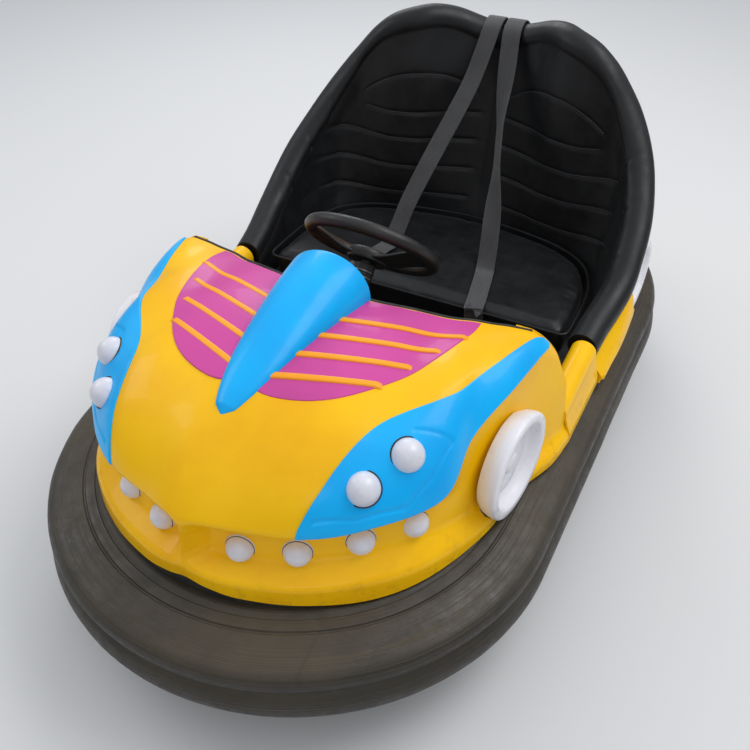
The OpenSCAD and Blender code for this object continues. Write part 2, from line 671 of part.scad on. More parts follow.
// Drive: a housing on the floor pan, a gear box on it, and the yoke that swivels in both
housing_r = well_r;
gear_h = 84;
module drive_housing() {
    low = pan_z + pan_t;
    color(steel) translate([0, -drive_y, 0]) difference() {
        translate([0, 0, low]) cylinder(r = housing_r + housing_t, h = housing_z + housing_t - low);
        translate([0, 0, pan_z]) cylinder(r = housing_r, h = housing_z - pan_z);
        translate([0, 0, housing_z - 1]) cylinder(r = stem_r + run, h = housing_t + 2);
    }
}
module gear_box() {
    low = housing_z + housing_t;
    color(steel) difference() {
        translate([-55, -drive_y - 55, low]) cube([110, 150, gear_h]);
        translate([0, -drive_y, low - 1]) cylinder(r = stem_r + run, h = 41);
        on_column() translate([0, 0, -column_len - 2]) cylinder(r = shaft_r + run, h = column_len);
        on_column() translate([0, 0, -column_len + 30 - fit]) cylinder(r = column_r + fit, h = column_len);
    }
}
module drive_yoke() {
    color(steel) translate([0, -drive_y, 0]) {
        translate([0, 0, yoke_top]) cylinder(r = 80, h = 10);
        translate([0, 0, yoke_top]) cylinder(r = stem_r, h = 50);
        for (side = [-1, 1]) translate([side * (drive_w / 2 + side_gap + yoke_t / 2), 0, 0])
            difference() {
                union() {
                    translate([-yoke_t / 2, -40, drive_r]) cube([yoke_t, 80, yoke_top - drive_r]);
                    translate([-yoke_t / 2, 0, drive_r]) rotate([0, 90, 0]) cylinder(r = 40, h = yoke_t);
                }
                translate([-yoke_t, 0, drive_r]) rotate([0, 90, 0]) cylinder(r = axle_r + run, h = 2 * yoke_t);
            }
    }
}
module wheel_at(x, y, z) {
    translate([x, y, z]) rotate([0, 90, 0]) children();
}
module front_tyre() {
    color(rubber) wheel_at(-drive_w / 2, -drive_y, drive_r) difference() {
        cylinder(r = drive_r, h = drive_w);
        translate([0, 0, -1]) cylinder(r = drive_r - 26, h = drive_w + 2);
    }
}
module front_hub() {
    color(steel) wheel_at(-drive_w / 2, -drive_y, drive_r) {
        cylinder(r = drive_r - 26, h = drive_w);
        translate([0, 0, -side_gap - yoke_t - 4])
            cylinder(r = axle_r, h = drive_w + 2 * (side_gap + yoke_t + 4));
    }
}

plate_t = 12;
module rear_axle() {
    color(steel) {
        wheel_at(-caster_x - caster_w / 2 - 10, caster_y, caster_r)
            cylinder(r = axle_r, h = 2 * caster_x + caster_w + 20);
        for (side = [-1, 1])
            translate([side * (rail_x + rail_w / 2 + plate_t / 2) - plate_t / 2, caster_y - 30, caster_r - 22])
                cube([plate_t, 60, pan_z - caster_r + 22]);
        for (side = [-1, 1]) translate([side * (caster_x + caster_w / 2 + 4), caster_y, caster_r])
            rotate([0, side * 90, 0]) cylinder(r = axle_r + 6, h = 6);
    }
}
module caster_tyre(side) {
    color(rubber) wheel_at(side * caster_x - caster_w / 2, caster_y, caster_r) difference() {
        cylinder(r = caster_r, h = caster_w);
        translate([0, 0, -1]) cylinder(r = caster_r - 18, h = caster_w + 2);
    }
}
module caster_hub(side) {
    color(steel) wheel_at(side * caster_x - caster_w / 2, caster_y, caster_r) difference() {
        cylinder(r = caster_r - 18, h = caster_w);
        translate([0, 0, -1]) cylinder(r = axle_r + run, h = caster_w + 2);
    }
}

// Brushes that take current from the floor
brush_at = [[0, 300 - drive_y], [0, caster_y - 240], [-120, caster_y + 80], [120, caster_y + 80]];
module pickup_brushes() {
    color("#B08D57") for (p = brush_at) translate([p[0], p[1], 0]) {
        translate([-30, -20, 3]) cube([60, 40, 22]);
        translate([0, 0, 25]) cylinder(r = 9, h = pan_z - 25);
    }
}

module pedal() {
    color(black) translate([110, 230 - drive_y, pan_z + pan_t + mat_t]) {
        cube([90, 60, 10]);
        translate([5, 56, 8]) rotate([-35, 0, 0]) translate([0, -110, 0]) cube([80, 110, 8]);
    }
}
module floor_mat() {
    color(black) translate([0, 0, pan_z + pan_t]) linear_extrude(mat_t) difference() {
        intersection() {
            polygon(oval(pan_inset + 8));
            translate([-ring_half_w, -rail_end_y])
                square([2 * ring_half_w, rail_end_y + cushion_front - 12]);
        }
        translate([0, -drive_y]) circle(housing_r + housing_t + 2);
    }
}

bumper_ring();
ring_band();
floor_pan();
chassis_rails();
front_shell();
rear_shell();
hem_seal();
pod(1);  // pod_left
pod(-1);  // pod_right
louvre(1);  // louvre_left
louvre(-1);  // louvre_right
louvre_bars(1);  // louvre_bars_left
louvre_bars(-1);  // louvre_bars_right
nose_cone();
headlamps();  // headlamps_left
mirror([1, 0, 0]) headlamps();  // headlamps_right
mouth_lamps();
front_disc();  // front_disc_left
mirror([1, 0, 0]) front_disc();  // front_disc_right
rear_disc();  // rear_disc_left
mirror([1, 0, 0]) rear_disc();  // rear_disc_right
sill();  // sill_left
mirror([1, 0, 0]) sill();  // sill_right
seat_tub();
seat_cushion();
seat_base();
belt();  // belt_left
mirror([1, 0, 0]) belt();  // belt_right
belt_anchor();
column_tube();
pedal();
floor_mat();
drive_housing();
gear_box();
rear_axle();
pickup_brushes();
steering_wheel();
steering_shaft();
drive_yoke();
front_tyre();
front_hub();
caster_tyre(1);  // rear_tyre_left
caster_hub(1);  // rear_hub_left
caster_tyre(-1);  // rear_tyre_right
caster_hub(-1);  // rear_hub_right
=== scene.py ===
# Looks of a two-seat bumper car with a floor pick-up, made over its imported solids.
import math

import bmesh
import bpy
from bpy.props import FloatProperty, FloatVectorProperty, IntProperty, PointerProperty
from mathutils import Matrix, Vector, noise
from mathutils.bvhtree import BVHTree


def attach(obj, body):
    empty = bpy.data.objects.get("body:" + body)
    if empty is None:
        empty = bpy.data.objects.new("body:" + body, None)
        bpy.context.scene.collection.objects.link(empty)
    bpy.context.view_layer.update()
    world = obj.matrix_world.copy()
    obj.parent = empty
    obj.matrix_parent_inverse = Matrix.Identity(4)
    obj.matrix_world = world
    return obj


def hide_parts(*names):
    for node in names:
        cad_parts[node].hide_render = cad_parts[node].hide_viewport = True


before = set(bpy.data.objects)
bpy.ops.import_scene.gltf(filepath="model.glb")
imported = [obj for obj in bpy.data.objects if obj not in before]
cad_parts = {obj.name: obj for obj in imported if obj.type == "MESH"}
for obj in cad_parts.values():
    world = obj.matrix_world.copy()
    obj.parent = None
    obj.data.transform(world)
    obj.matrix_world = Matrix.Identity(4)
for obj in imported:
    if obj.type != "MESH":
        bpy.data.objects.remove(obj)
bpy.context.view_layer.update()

bl_info = {
    "name": "Bumper car looks",
    "version": (1, 0, 0),
    "blender": (4, 5, 0),
    "location": "3D View > Sidebar > Bumper car",
    "description": "Builds the surfaces and finishes of a two-seat bumper car over its solids",
    "category": "Object",
}

CHASSIS = "chassis"
SIDES = ((1, "left"), (-1, "right"))


def linear(code):
    """Linear colour of an sRGB hex value."""
    parts = [int(code[i:i + 2], 16) / 255 for i in (1, 3, 5)]
    return tuple(c / 12.92 if c <= 0.04045 else ((c + 0.055) / 1.055) ** 2.4 for c in parts)


def hue(name, code, what):
    """A colour that the user can change."""
    return FloatVectorProperty(name=name, description=what, subtype="COLOR", size=3, min=0, max=1,
                               default=linear(code))


def length(name, value, what, low, high):
    """A size in metres that the user can change, given in millimetres."""
    return FloatProperty(name=name, description=what, default=value / 1000, min=low / 1000,
                         max=high / 1000, unit="LENGTH", subtype="DISTANCE", precision=4)


class CarColours(bpy.types.PropertyGroup):
    yellow: hue("Body", "#FDC305", "Gel coat of the front and rear body")
    cyan: hue("Pods and nose", "#04B4FB", "Gel coat of the lamp pods and the nose cone")
    magenta: hue("Louvre panels", "#CF4B9C", "Gel coat of the panels on the hood")
    orange: hue("Louvre bars", "#FFA92B", "Gel coat of the bars on the panels")
    ring: hue("Ring", "#1B1712", "Rubber of the bumper ring")
    ring_dust: hue("Ring dust", "#4A402D", "Dust and rubbed rubber on the ring's broad top")
    vinyl: hue("Seat", "#111214", "Leatherette of the seat")
    webbing: hue("Belts", "#3B3B3E", "Woven belts")
    lens: hue("Lamps", "#E9E9F2", "Milky lamp domes")
    disc: hue("Wheel discs", "#ECEBF1", "Moulded wheel discs")


class CarSizes(bpy.types.PropertyGroup):
    panel_rise: length("Panel rise", 4, "Height of the lamp pods above the hood", 2, 5)
    louvre_rise: length("Louvre panel rise", 1.8, "Height of the louvre panels above the hood", 1, 5)
    bar_rise: length("Bar rise", 3.2, "Height of the louvre bars above their panel", 2, 6)
    channel_depth: length("Channel depth", 2.4, "Depth of the seat's sewn channels", 1, 8)
    lobe_depth: length("Lobe depth", 18, "Padding of the seat back's two lobes", 8, 30)
    cushion_cap: length("Cushion swell", 10, "How far the cushion's skin may swell", 4, 16)
    belt_twist: FloatProperty(name="Belt twist", description="Turn of the left belt half way down",
                              default=math.radians(58), min=0, max=math.radians(80),
                              unit="ROTATION", subtype="ANGLE")
    tread_blocks: IntProperty(name="Tread blocks", description="Blocks round the driven tyre",
                              default=28, min=16, max=40)


# Points and curves, in millimetres

def mix(a, b, t):
    return a * (1 - t) + b * t


def ease(t):
    t = min(max(t, 0.0), 1.0)
    return t * t * (3 - 2 * t)


def crowd(t):
    """Share of the way that gathers points at both ends."""
    return 0.5 - 0.5 * math.cos(math.pi * t)


def squared(c, power):
    """A sine or cosine that is flattened by a power and keeps its sign."""
    return math.copysign(abs(c) ** power, c)


def unit(v):
    return v / max(v.length, 1e-6)


def flip(p):
    return Vector((-p[0], p[1], p[2]))


def spline(b, c, a, d, t):
    return 0.5 * (2 * b + (c - a) * t + (2 * a - 5 * b + 4 * c - d) * t * t
                  + (3 * b - a - 3 * c + d) * t * t * t)


def across(row, u):
    """Smooth curve through half a row of points that starts on the car's middle plane."""
    if u < 0:
        return flip(across(row, -u))
    n = len(row)
    i = min(int(u), n - 2)
    b, c = Vector(row[i]), Vector(row[i + 1])
    a = Vector(row[i - 1]) if i > 0 else flip(row[1])
    d = Vector(row[i + 2]) if i < n - 2 else 2 * c - b
    return spline(b, c, a, d, u - i)


def through(points, s):
    """Smooth curve through open points, s from 0 to 1."""
    n = len(points)
    x = min(max(s, 0.0), 1.0) * (n - 1)
    i = min(int(x), n - 2)
    b, c = Vector(points[i]), Vector(points[i + 1])
    a = Vector(points[i - 1]) if i > 0 else 2 * b - c
    d = Vector(points[i + 2]) if i < n - 2 else 2 * c - b
    return spline(b, c, a, d, x - i)


def table(rows, x):
    """Value at x between the rows of a short table."""
    if x <= rows[0][0]:
        return rows[0][1]
    for (a, p), (b, q) in zip(rows, rows[1:]):
        if x <= b:
            return mix(p, q, (x - a) / (b - a))
    return rows[-1][1]


def bezier(a, b, c, t):
    return a * (1 - t) ** 2 + b * 2 * t * (1 - t) + c * t * t


# Meshes

def empty():
    """A new mesh with a UV map of its own."""
    bm = bmesh.new()
    bm.loops.layers.uv.new("UVMap")
    return bm


def rounded(bm, edges, by, segments):
    """Rounds edges by a width."""
    bmesh.ops.bevel(bm, geom=edges, offset=by, offset_type="OFFSET", segments=segments, profile=0.5,
                    affect="EDGES", material=-1, clamp_overlap=True)


def capped(bm, sides):
    """Closes the open ends of a form."""
    bmesh.ops.holes_fill(bm, edges=[e for e in bm.edges if e.is_boundary], sides=sides)
    return outwards(bm)


def grid(nu, nv, place):
    """A grid whose points are placed by their share of the way along and across it."""
    bm = empty()
    bmesh.ops.create_grid(bm, x_segments=nu, y_segments=nv, size=1, calc_uvs=True)
    span = max(v.co.x for v in bm.verts)
    for v in bm.verts:
        v.co = place((v.co.x / span + 1) / 2, (v.co.y / span + 1) / 2)
    return bm


def weld(bm, dist=0.02):
    bmesh.ops.remove_doubles(bm, verts=bm.verts, dist=dist)
    return bm


def outwards(bm):
    bmesh.ops.recalc_face_normals(bm, faces=bm.faces)
    return bm


def face_along(bm, direction):
    """Turns an open sheet so that its faces look along a direction."""
    total = sum((f.normal * f.calc_area() for f in bm.faces), Vector())
    if total.dot(Vector(direction)) < 0:
        bmesh.ops.reverse_faces(bm, faces=bm.faces)
    return bm


def thicken(bm, depth):
    """Gives an open sheet a wall behind its face."""
    bm.normal_update()
    bmesh.ops.solidify(bm, geom=bm.faces[:], thickness=depth)
    return outwards(bm)


def mirrored(bm, side):
    """The same shape on the car's right for side -1."""
    if side < 0:
        bmesh.ops.scale(bm, vec=(-1, 1, 1), verts=bm.verts)
        bmesh.ops.reverse_faces(bm, faces=bm.faces)
    return bm


def joined(parts):
    """One bmesh from several."""
    whole = empty()
    for bm in parts:
        mesh = bpy.data.meshes.new("part")
        bm.to_mesh(mesh)
        bm.free()
        whole.from_mesh(mesh)
        bpy.data.meshes.remove(mesh)
    return whole


def turned(profile, steps=64):
    """A round form from a profile of (radius, height) points, turned about the z axis."""
    bm = empty()
    verts = [bm.verts.new((r, 0, h)) for r, h in profile]
    edges = [bm.edges.new(pair) for pair in zip(verts, verts[1:])]
    bmesh.ops.spin(bm, geom=verts + edges, cent=(0, 0, 0), axis=(0, 0, 1), angle=2 * math.pi,
                   steps=steps, use_merge=True)
    weld(bm)
    bmesh.ops.delete(bm, geom=[v for v in bm.verts if not v.link_faces], context="VERTS")
    return outwards(bm)


def box(size, at=(0, 0, 0), round_by=1.0, segments=2):
    """A block with rounded edges, at its middle."""
    bm = empty()
    bmesh.ops.create_cube(bm, size=1)
    bmesh.ops.scale(bm, vec=size, verts=bm.verts)
    rounded(bm, bm.edges[:], round_by, segments)
    bmesh.ops.translate(bm, vec=at, verts=bm.verts)
    return bm


def tube(points, radius, sides=10, closed=False):
    """A round bar along points, with its ends capped."""
    n = len(points)
    bm = empty()
    pts = [Vector(p) for p in points]
    rings = []
    side = None
    for i in range(n):
        if closed:
            way = unit(pts[(i + 1) % n] - pts[i - 1])
        else:
            way = unit(pts[min(i + 1, n - 1)] - pts[max(i - 1, 0)])
        if side is None:
            side = way.orthogonal().normalized()
        side = unit(side - way * side.dot(way))
        up = way.cross(side)
        r = radius(i / max(n - 1, 1)) if callable(radius) else radius
        rings.append([bm.verts.new(pts[i] + (side * math.cos(a) + up * math.sin(a)) * r)
                      for a in [2 * math.pi * k / sides for k in range(sides)]])
    loops = [[bm.edges.new((ring[k], ring[(k + 1) % sides])) for k in range(sides)] for ring in rings]
    pairs = list(zip(loops, loops[1:])) + ([(loops[-1], loops[0])] if closed else [])
    for a, b in pairs:
        bmesh.ops.bridge_loops(bm, edges=a + b)
    if not closed:
        bmesh.ops.holes_fill(bm, edges=loops[0] + loops[-1], sides=sides)
    return outwards(bm)


def looking(at, way):
    """Turns +z to a direction and moves to a place."""
    return Matrix.Translation(Vector(at)) @ Vector(way).to_track_quat("Z", "Y").to_matrix().to_4x4()


def moved(bm, matrix):
    bmesh.ops.transform(bm, matrix=matrix, verts=bm.verts)
    return bm


def piece(name, bm, material, body=CHASSIS, stands_for=(), crease=35, more=()):
    """Makes an object of a bmesh in millimetres, with a finish, a body and the nodes it stands for."""
    bmesh.ops.scale(bm, vec=(0.001, 0.001, 0.001), verts=bm.verts)
    bm.normal_update()
    limit = math.radians(crease)
    for f in bm.faces:
        f.smooth = True
    for e in bm.edges:
        e.smooth = not (len(e.link_faces) == 2 and e.calc_face_angle(0) > limit)
    mesh = bpy.data.meshes.new(name)
    bm.to_mesh(mesh)
    bm.free()
    obj = bpy.data.objects.new(name, mesh)
    bpy.context.scene.collection.objects.link(obj)
    for m in (material, *more):
        mesh.materials.append(m)
    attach(obj, body)
    if stands_for:
        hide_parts(*stands_for)
    return obj


def from_node(node, name, material, body=CHASSIS, round_by=1.2, segments=2, crease=35):
    """A copy of a node's own solid with its sharp edges rounded, which stands for it."""
    bm = bmesh.new()
    bm.from_mesh(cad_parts[node].data)
    bm.loops.layers.uv.verify()
    bmesh.ops.scale(bm, vec=(1000, 1000, 1000), verts=bm.verts)
    weld(bm, 0.01)
    bmesh.ops.dissolve_limit(bm, angle_limit=math.radians(1), verts=bm.verts, edges=bm.edges)
    sharp = [e for e in bm.edges if len(e.link_faces) == 2
             and e.calc_face_angle(0) > math.radians(30)]
    if round_by:
        rounded(bm, sharp, round_by, segments)
    return piece(name, outwards(bm), material, body, [node], crease)


# Materials

def add(tree, kind, inputs=None, **settings):
    """Adds a node with its settings, values and links."""
    node = tree.nodes.new(kind)
    for key, value in settings.items():
        setattr(node, key, value)
    for key, value in (inputs or {}).items():
        if isinstance(value, bpy.types.NodeSocket):
            tree.links.new(value, node.inputs[key])
        else:
            node.inputs[key].default_value = value
    return node


def rgba(colour, share=1.0):
    return (*[min(c * share, 1) for c in colour], 1)


def ramp(tree, fac, low, high, a=(0, 0, 0, 1), b=(1, 1, 1, 1)):
    """A colour ramp between two colours."""
    node = add(tree, "ShaderNodeValToRGB", {"Fac": fac})
    ends = node.color_ramp.elements
    ends[0].position, ends[0].color = low, a
    ends[1].position, ends[1].color = high, b
    return node.outputs["Color"]


def tint(tree, fac, a, b):
    """Mixes two colours by a share."""
    node = add(tree, "ShaderNodeMix", data_type="RGBA")
    for index, value in ((0, fac), (6, a), (7, b)):
        if isinstance(value, bpy.types.NodeSocket):
            tree.links.new(value, node.inputs[index])
        else:
            node.inputs[index].default_value = value
    return node.outputs[2]


def grey(share):
    return (share, share, share, 1)


def times(tree, a, b):
    """The product of two values."""
    return add(tree, "ShaderNodeMath", {0: a, 1: b}, operation="MULTIPLY").outputs[0]


def remap(tree, value, a, b, low, high):
    """A value between a and b taken to the range from low to high."""
    return add(tree, "ShaderNodeMapRange", {"Value": value, "From Min": a, "From Max": b,
                                            "To Min": low, "To Max": high}).outputs["Result"]


def paint(tree, bsdf, colour):
    tree.links.new(colour, bsdf.inputs["Base Color"])


def rough_by(tree, bsdf, fac, low, high, a, b):
    """Roughness from a to b where a pattern goes from low to high."""
    tree.links.new(ramp(tree, fac, low, high, grey(a), grey(b)), bsdf.inputs["Roughness"])


def spots(tree, where, per_metre, detail=4.0, rough=0.55, kind="Fac"):
    """Cloudy noise with so many waves to the metre."""
    return add(tree, "ShaderNodeTexNoise", {"Vector": where, "Scale": per_metre, "Detail": detail,
                                            "Roughness": rough}).outputs[kind]


def shader(name, base, **sockets):
    """A new material with its shader, its nodes and the object's coordinates."""
    material = bpy.data.materials.new(name)
    material.use_nodes = True
    tree = material.node_tree
    bsdf = tree.nodes["Principled BSDF"]
    bsdf.inputs["Base Color"].default_value = rgba(base)
    for key, value in sockets.items():
        bsdf.inputs[key.replace("_", " ")].default_value = value
    where = add(tree, "ShaderNodeTexCoord").outputs["Object"]
    return material, tree, bsdf, where


def bump(tree, bsdf, height, strength, depth, before=None):
    """Surface relief, its depth in metres."""
    inputs = {"Height": height, "Strength": strength, "Distance": depth}
    if before is not None:
        inputs["Normal"] = before
    node = add(tree, "ShaderNodeBump", inputs)
    tree.links.new(node.outputs["Normal"], bsdf.inputs["Normal"])
    return node.outputs["Normal"]


def gel_coat(name, colour, shade):
    """Sprayed polyester gel coat, moulded and polished: a deep glossy colour that is a little
    cloudy, with handling marks in the gloss, faint orange peel and grime low down."""
    m, tree, bsdf, where = shader(name, colour, Roughness=0.38, IOR=1.45, Coat_Weight=0.14,
                                  Coat_Roughness=0.05, Specular_IOR_Level=0.22)
    cloud = ramp(tree, spots(tree, where, 5, 5), 0.42, 0.74)
    body = tint(tree, cloud, rgba(colour), rgba(shade))
    low = add(tree, "ShaderNodeSeparateXYZ", {"Vector": where}).outputs["Z"]
    near_hem = remap(tree, low, 0.30, 0.40, 0.5, 0.0)
    speck = ramp(tree, spots(tree, where, 38, 8, 0.7), 0.52, 0.72)
    grime = times(tree, near_hem, speck)
    paint(tree, bsdf, tint(tree, grime, body, rgba(linear("#6B5320"))))
    marks = spots(tree, where, 22, 8, 0.72)
    rough_by(tree, bsdf, marks, 0.35, 0.8, 0.30, 0.48)
    bump(tree, bsdf, spots(tree, where, 90, 2), 0.08, 0.0005)
    return m


def ring_rubber(colour, dust):
    """Moulded rubber, worn and dusty: brown-black with pale dust on the broad top, long scuffs that
    run round the ring, small cuts and a coarse worn grain."""
    m, tree, bsdf, where = shader("Moulded_rubber_worn", colour, Roughness=0.68, IOR=1.52)
    uv = add(tree, "ShaderNodeTexCoord").outputs["UV"]
    stretched = add(tree, "ShaderNodeMapping", {"Vector": uv, "Scale": (1.6, 46, 1)}).outputs[0]
    scuffs = ramp(tree, spots(tree, stretched, 3, 9, 0.7), 0.50, 0.72)
    cloud = ramp(tree, spots(tree, where, 3.2, 10, 0.6), 0.32, 0.78)
    up = add(tree, "ShaderNodeNewGeometry").outputs["Normal"]
    top = add(tree, "ShaderNodeSeparateXYZ", {"Vector": up}).outputs["Z"]
    lying = remap(tree, top, 0.1, 0.95, 0.15, 1.0)
    dusty = times(tree, lying, cloud)
    dark = tint(tree, ramp(tree, spots(tree, where, 14, 6), 0.35, 0.7), rgba(colour, 0.55), rgba(colour))
    coat = tint(tree, dusty, dark, rgba(dust))
    rub = times(tree, scuffs, 0.6)
    worn = tint(tree, rub, coat, rgba(dust, 1.7))
    cells = add(tree, "ShaderNodeTexVoronoi", {"Vector": where, "Scale": 2.6},
                feature="DISTANCE_TO_EDGE").outputs["Distance"]
    crack = ramp(tree, cells, 0.0, 0.012, grey(0.5), (1, 1, 1, 1))
    final = add(tree, "ShaderNodeMix", data_type="RGBA", blend_type="MULTIPLY")
    final.inputs[0].default_value = 0.45
    tree.links.new(worn, final.inputs[6])
    tree.links.new(crack, final.inputs[7])
    paint(tree, bsdf, final.outputs[2])
    rough_by(tree, bsdf, spots(tree, where, 30, 6, 0.7), 0.3, 0.75, 0.32, 0.64)
    uneven = bump(tree, bsdf, spots(tree, where, 13, 3), 0.35, 0.006)
    first = bump(tree, bsdf, spots(tree, where, 240, 4, 0.7), 0.3, 0.0010, uneven)
    bump(tree, bsdf, scuffs, 0.35, 0.0015, first)
    return m


def leatherette(colour):
    """Black vinyl leathercloth: a fine embossed grain with a soft sheen, rubbed slightly grey where
    riders sit and lean."""
    m, tree, bsdf, where = shader("Vinyl_leathercloth", colour, Roughness=0.46, IOR=1.5,
                                  Sheen_Weight=0.06, Sheen_Roughness=0.4, Specular_IOR_Level=0.36)
    rubbed = ramp(tree, spots(tree, where, 6, 6, 0.6), 0.38, 0.72)
    paint(tree, bsdf, tint(tree, rubbed, rgba(colour, 0.72), rgba(colour, 1.55)))
    rough_by(tree, bsdf, spots(tree, where, 24, 6, 0.65), 0.3, 0.75, 0.34, 0.56)
    # grain cells of about 2.5 mm, a little coarser than the real ones so that they show
    cells = add(tree, "ShaderNodeTexVoronoi", {"Vector": where, "Scale": 400.0},
                feature="DISTANCE_TO_EDGE").outputs["Distance"]
    first = bump(tree, bsdf, cells, 0.25, 0.0010)
    bump(tree, bsdf, spots(tree, where, 34, 3), 0.25, 0.0035, first)
    return m


def woven(colour):
    """Polyester webbing: a twill of fine ribs across the belt, and bands along it."""
    m, tree, bsdf, where = shader("Polyester_webbing", colour, Roughness=0.6, IOR=1.5,
                                  Sheen_Weight=0.35, Sheen_Roughness=0.45)
    uv = add(tree, "ShaderNodeTexCoord").outputs["UV"]
    # ribs 3 mm apart along a belt of about 1.2 m and 9 warp bands over its 48 mm
    ribs = add(tree, "ShaderNodeTexWave", {"Vector": add(tree, "ShaderNodeMapping", {
        "Vector": uv, "Scale": (400, 6, 1)}).outputs[0], "Scale": 1.0, "Distortion": 0.6,
        "Detail": 1.0}, bands_direction="X").outputs["Fac"]
    bands = add(tree, "ShaderNodeTexWave", {"Vector": add(tree, "ShaderNodeMapping", {
        "Vector": uv, "Scale": (1, 9, 1)}).outputs[0], "Scale": 1.0}, bands_direction="Y").outputs["Fac"]
    cross = add(tree, "ShaderNodeMath", {0: ribs, 1: bands}, operation="ADD").outputs[0]
    worn = ramp(tree, spots(tree, where, 18, 6), 0.35, 0.75)
    body = tint(tree, worn, rgba(colour, 0.7), rgba(colour, 1.35))
    # the low places between the ribs are darker: painted shade of the weave
    paint(tree, bsdf, tint(tree, ramp(tree, ribs, 0.2, 0.9), rgba(colour, 0.6), body))
    bump(tree, bsdf, cross, 0.5, 0.0008)
    return m


def milky_lens(colour):
    """Milky acrylic: an even white dome that lets a little light in, with dust in its gloss."""
    m, tree, bsdf, where = shader("Milky_acrylic", colour, Roughness=0.3, IOR=1.49,
                                  Subsurface_Weight=0.12, Subsurface_Scale=0.01)
    bsdf.inputs["Subsurface Radius"].default_value = (1.0, 0.9, 0.85)
    dust = ramp(tree, spots(tree, where, 45, 6, 0.65), 0.45, 0.8)
    paint(tree, bsdf, tint(tree, dust, rgba(colour, 0.9), rgba(linear("#CFCFDC"))))
    rough_by(tree, bsdf, dust, 0.0, 1.0, 0.26, 0.42)
    bump(tree, bsdf, spots(tree, where, 300, 2), 0.06, 0.0004)
    return m


def moulded(name, colour, mark, rough=0.35, grain=260.0, depth=0.0005, strength=0.2, wear=0.5):
    """Injection-moulded plastic: an even colour with a fine grain and scuffs of another tone."""
    m, tree, bsdf, where = shader(name, colour, Roughness=rough, IOR=1.46)
    scuff = ramp(tree, spots(tree, where, 12, 8, 0.68), 0.5, 0.8)
    part = times(tree, scuff, wear)
    paint(tree, bsdf, tint(tree, part, rgba(colour), rgba(mark)))
    rough_by(tree, bsdf, spots(tree, where, 30, 6, 0.6), 0.3, 0.75, rough - 0.1, rough + 0.16)
    bump(tree, bsdf, spots(tree, where, grain, 3, 0.6), strength, depth)
    return m


def wheel_grip():
    """Soft polyurethane rim: black with a satin grain, and rubbed brown where a hand turns it."""
    m, tree, bsdf, where = shader("Polyurethane_grip", linear("#1D1C1C"), Roughness=0.45, IOR=1.5)
    parts = add(tree, "ShaderNodeSeparateXYZ", {"Vector": where})
    end = remap(tree, parts.outputs["X"], -0.085, -0.15, 0.0, 1.0)
    patch = ramp(tree, spots(tree, where, 26, 7, 0.68), 0.36, 0.6)
    brown = times(tree, end, patch)
    paint(tree, bsdf, tint(tree, brown, rgba(linear("#1D1C1C")), rgba(linear("#6A4630"))))
    rough_by(tree, bsdf, spots(tree, where, 40, 6), 0.3, 0.75, 0.34, 0.56)
    bump(tree, bsdf, spots(tree, where, 380, 3), 0.3, 0.0005)
    return m


def metal(name, colour, dirt, rough, lines, shine=1.0):
    """Steel or cast metal with its drawing or casting marks and dirt in the low places."""
    m, tree, bsdf, where = shader(name, colour, Roughness=rough, Metallic=shine)
    cloud = ramp(tree, spots(tree, where, 9, 7, 0.65), 0.42, 0.75)
    paint(tree, bsdf, tint(tree, cloud, rgba(colour), rgba(dirt)))
    drawn = add(tree, "ShaderNodeMapping", {"Vector": where, "Scale": lines}).outputs[0]
    grain = spots(tree, drawn, 40, 5, 0.6)
    rough_by(tree, bsdf, grain, 0.25, 0.8, rough - 0.1, rough + 0.2)
    bump(tree, bsdf, grain, 0.2, 0.0006)
    return m


def black_rubber(name, colour, ribs=0.0):
    """Extruded or moulded black rubber: matt, dusty, with ribs on the mat."""
    m, tree, bsdf, where = shader(name, colour, Roughness=0.75, IOR=1.52)
    dust = ramp(tree, spots(tree, where, 10, 8, 0.68), 0.42, 0.75)
    paint(tree, bsdf, tint(tree, dust, rgba(colour), rgba(linear("#4A463F"))))
    rough_by(tree, bsdf, spots(tree, where, 50, 5), 0.3, 0.75, 0.62, 0.88)
    first = bump(tree, bsdf, spots(tree, where, 300, 3), 0.3, 0.0006)
    if ribs:
        wave = add(tree, "ShaderNodeTexWave", {"Vector": where, "Scale": ribs},
                   bands_direction="X").outputs["Fac"]
        bump(tree, bsdf, wave, 0.6, 0.003, first)
    return m


FINISHES = {}


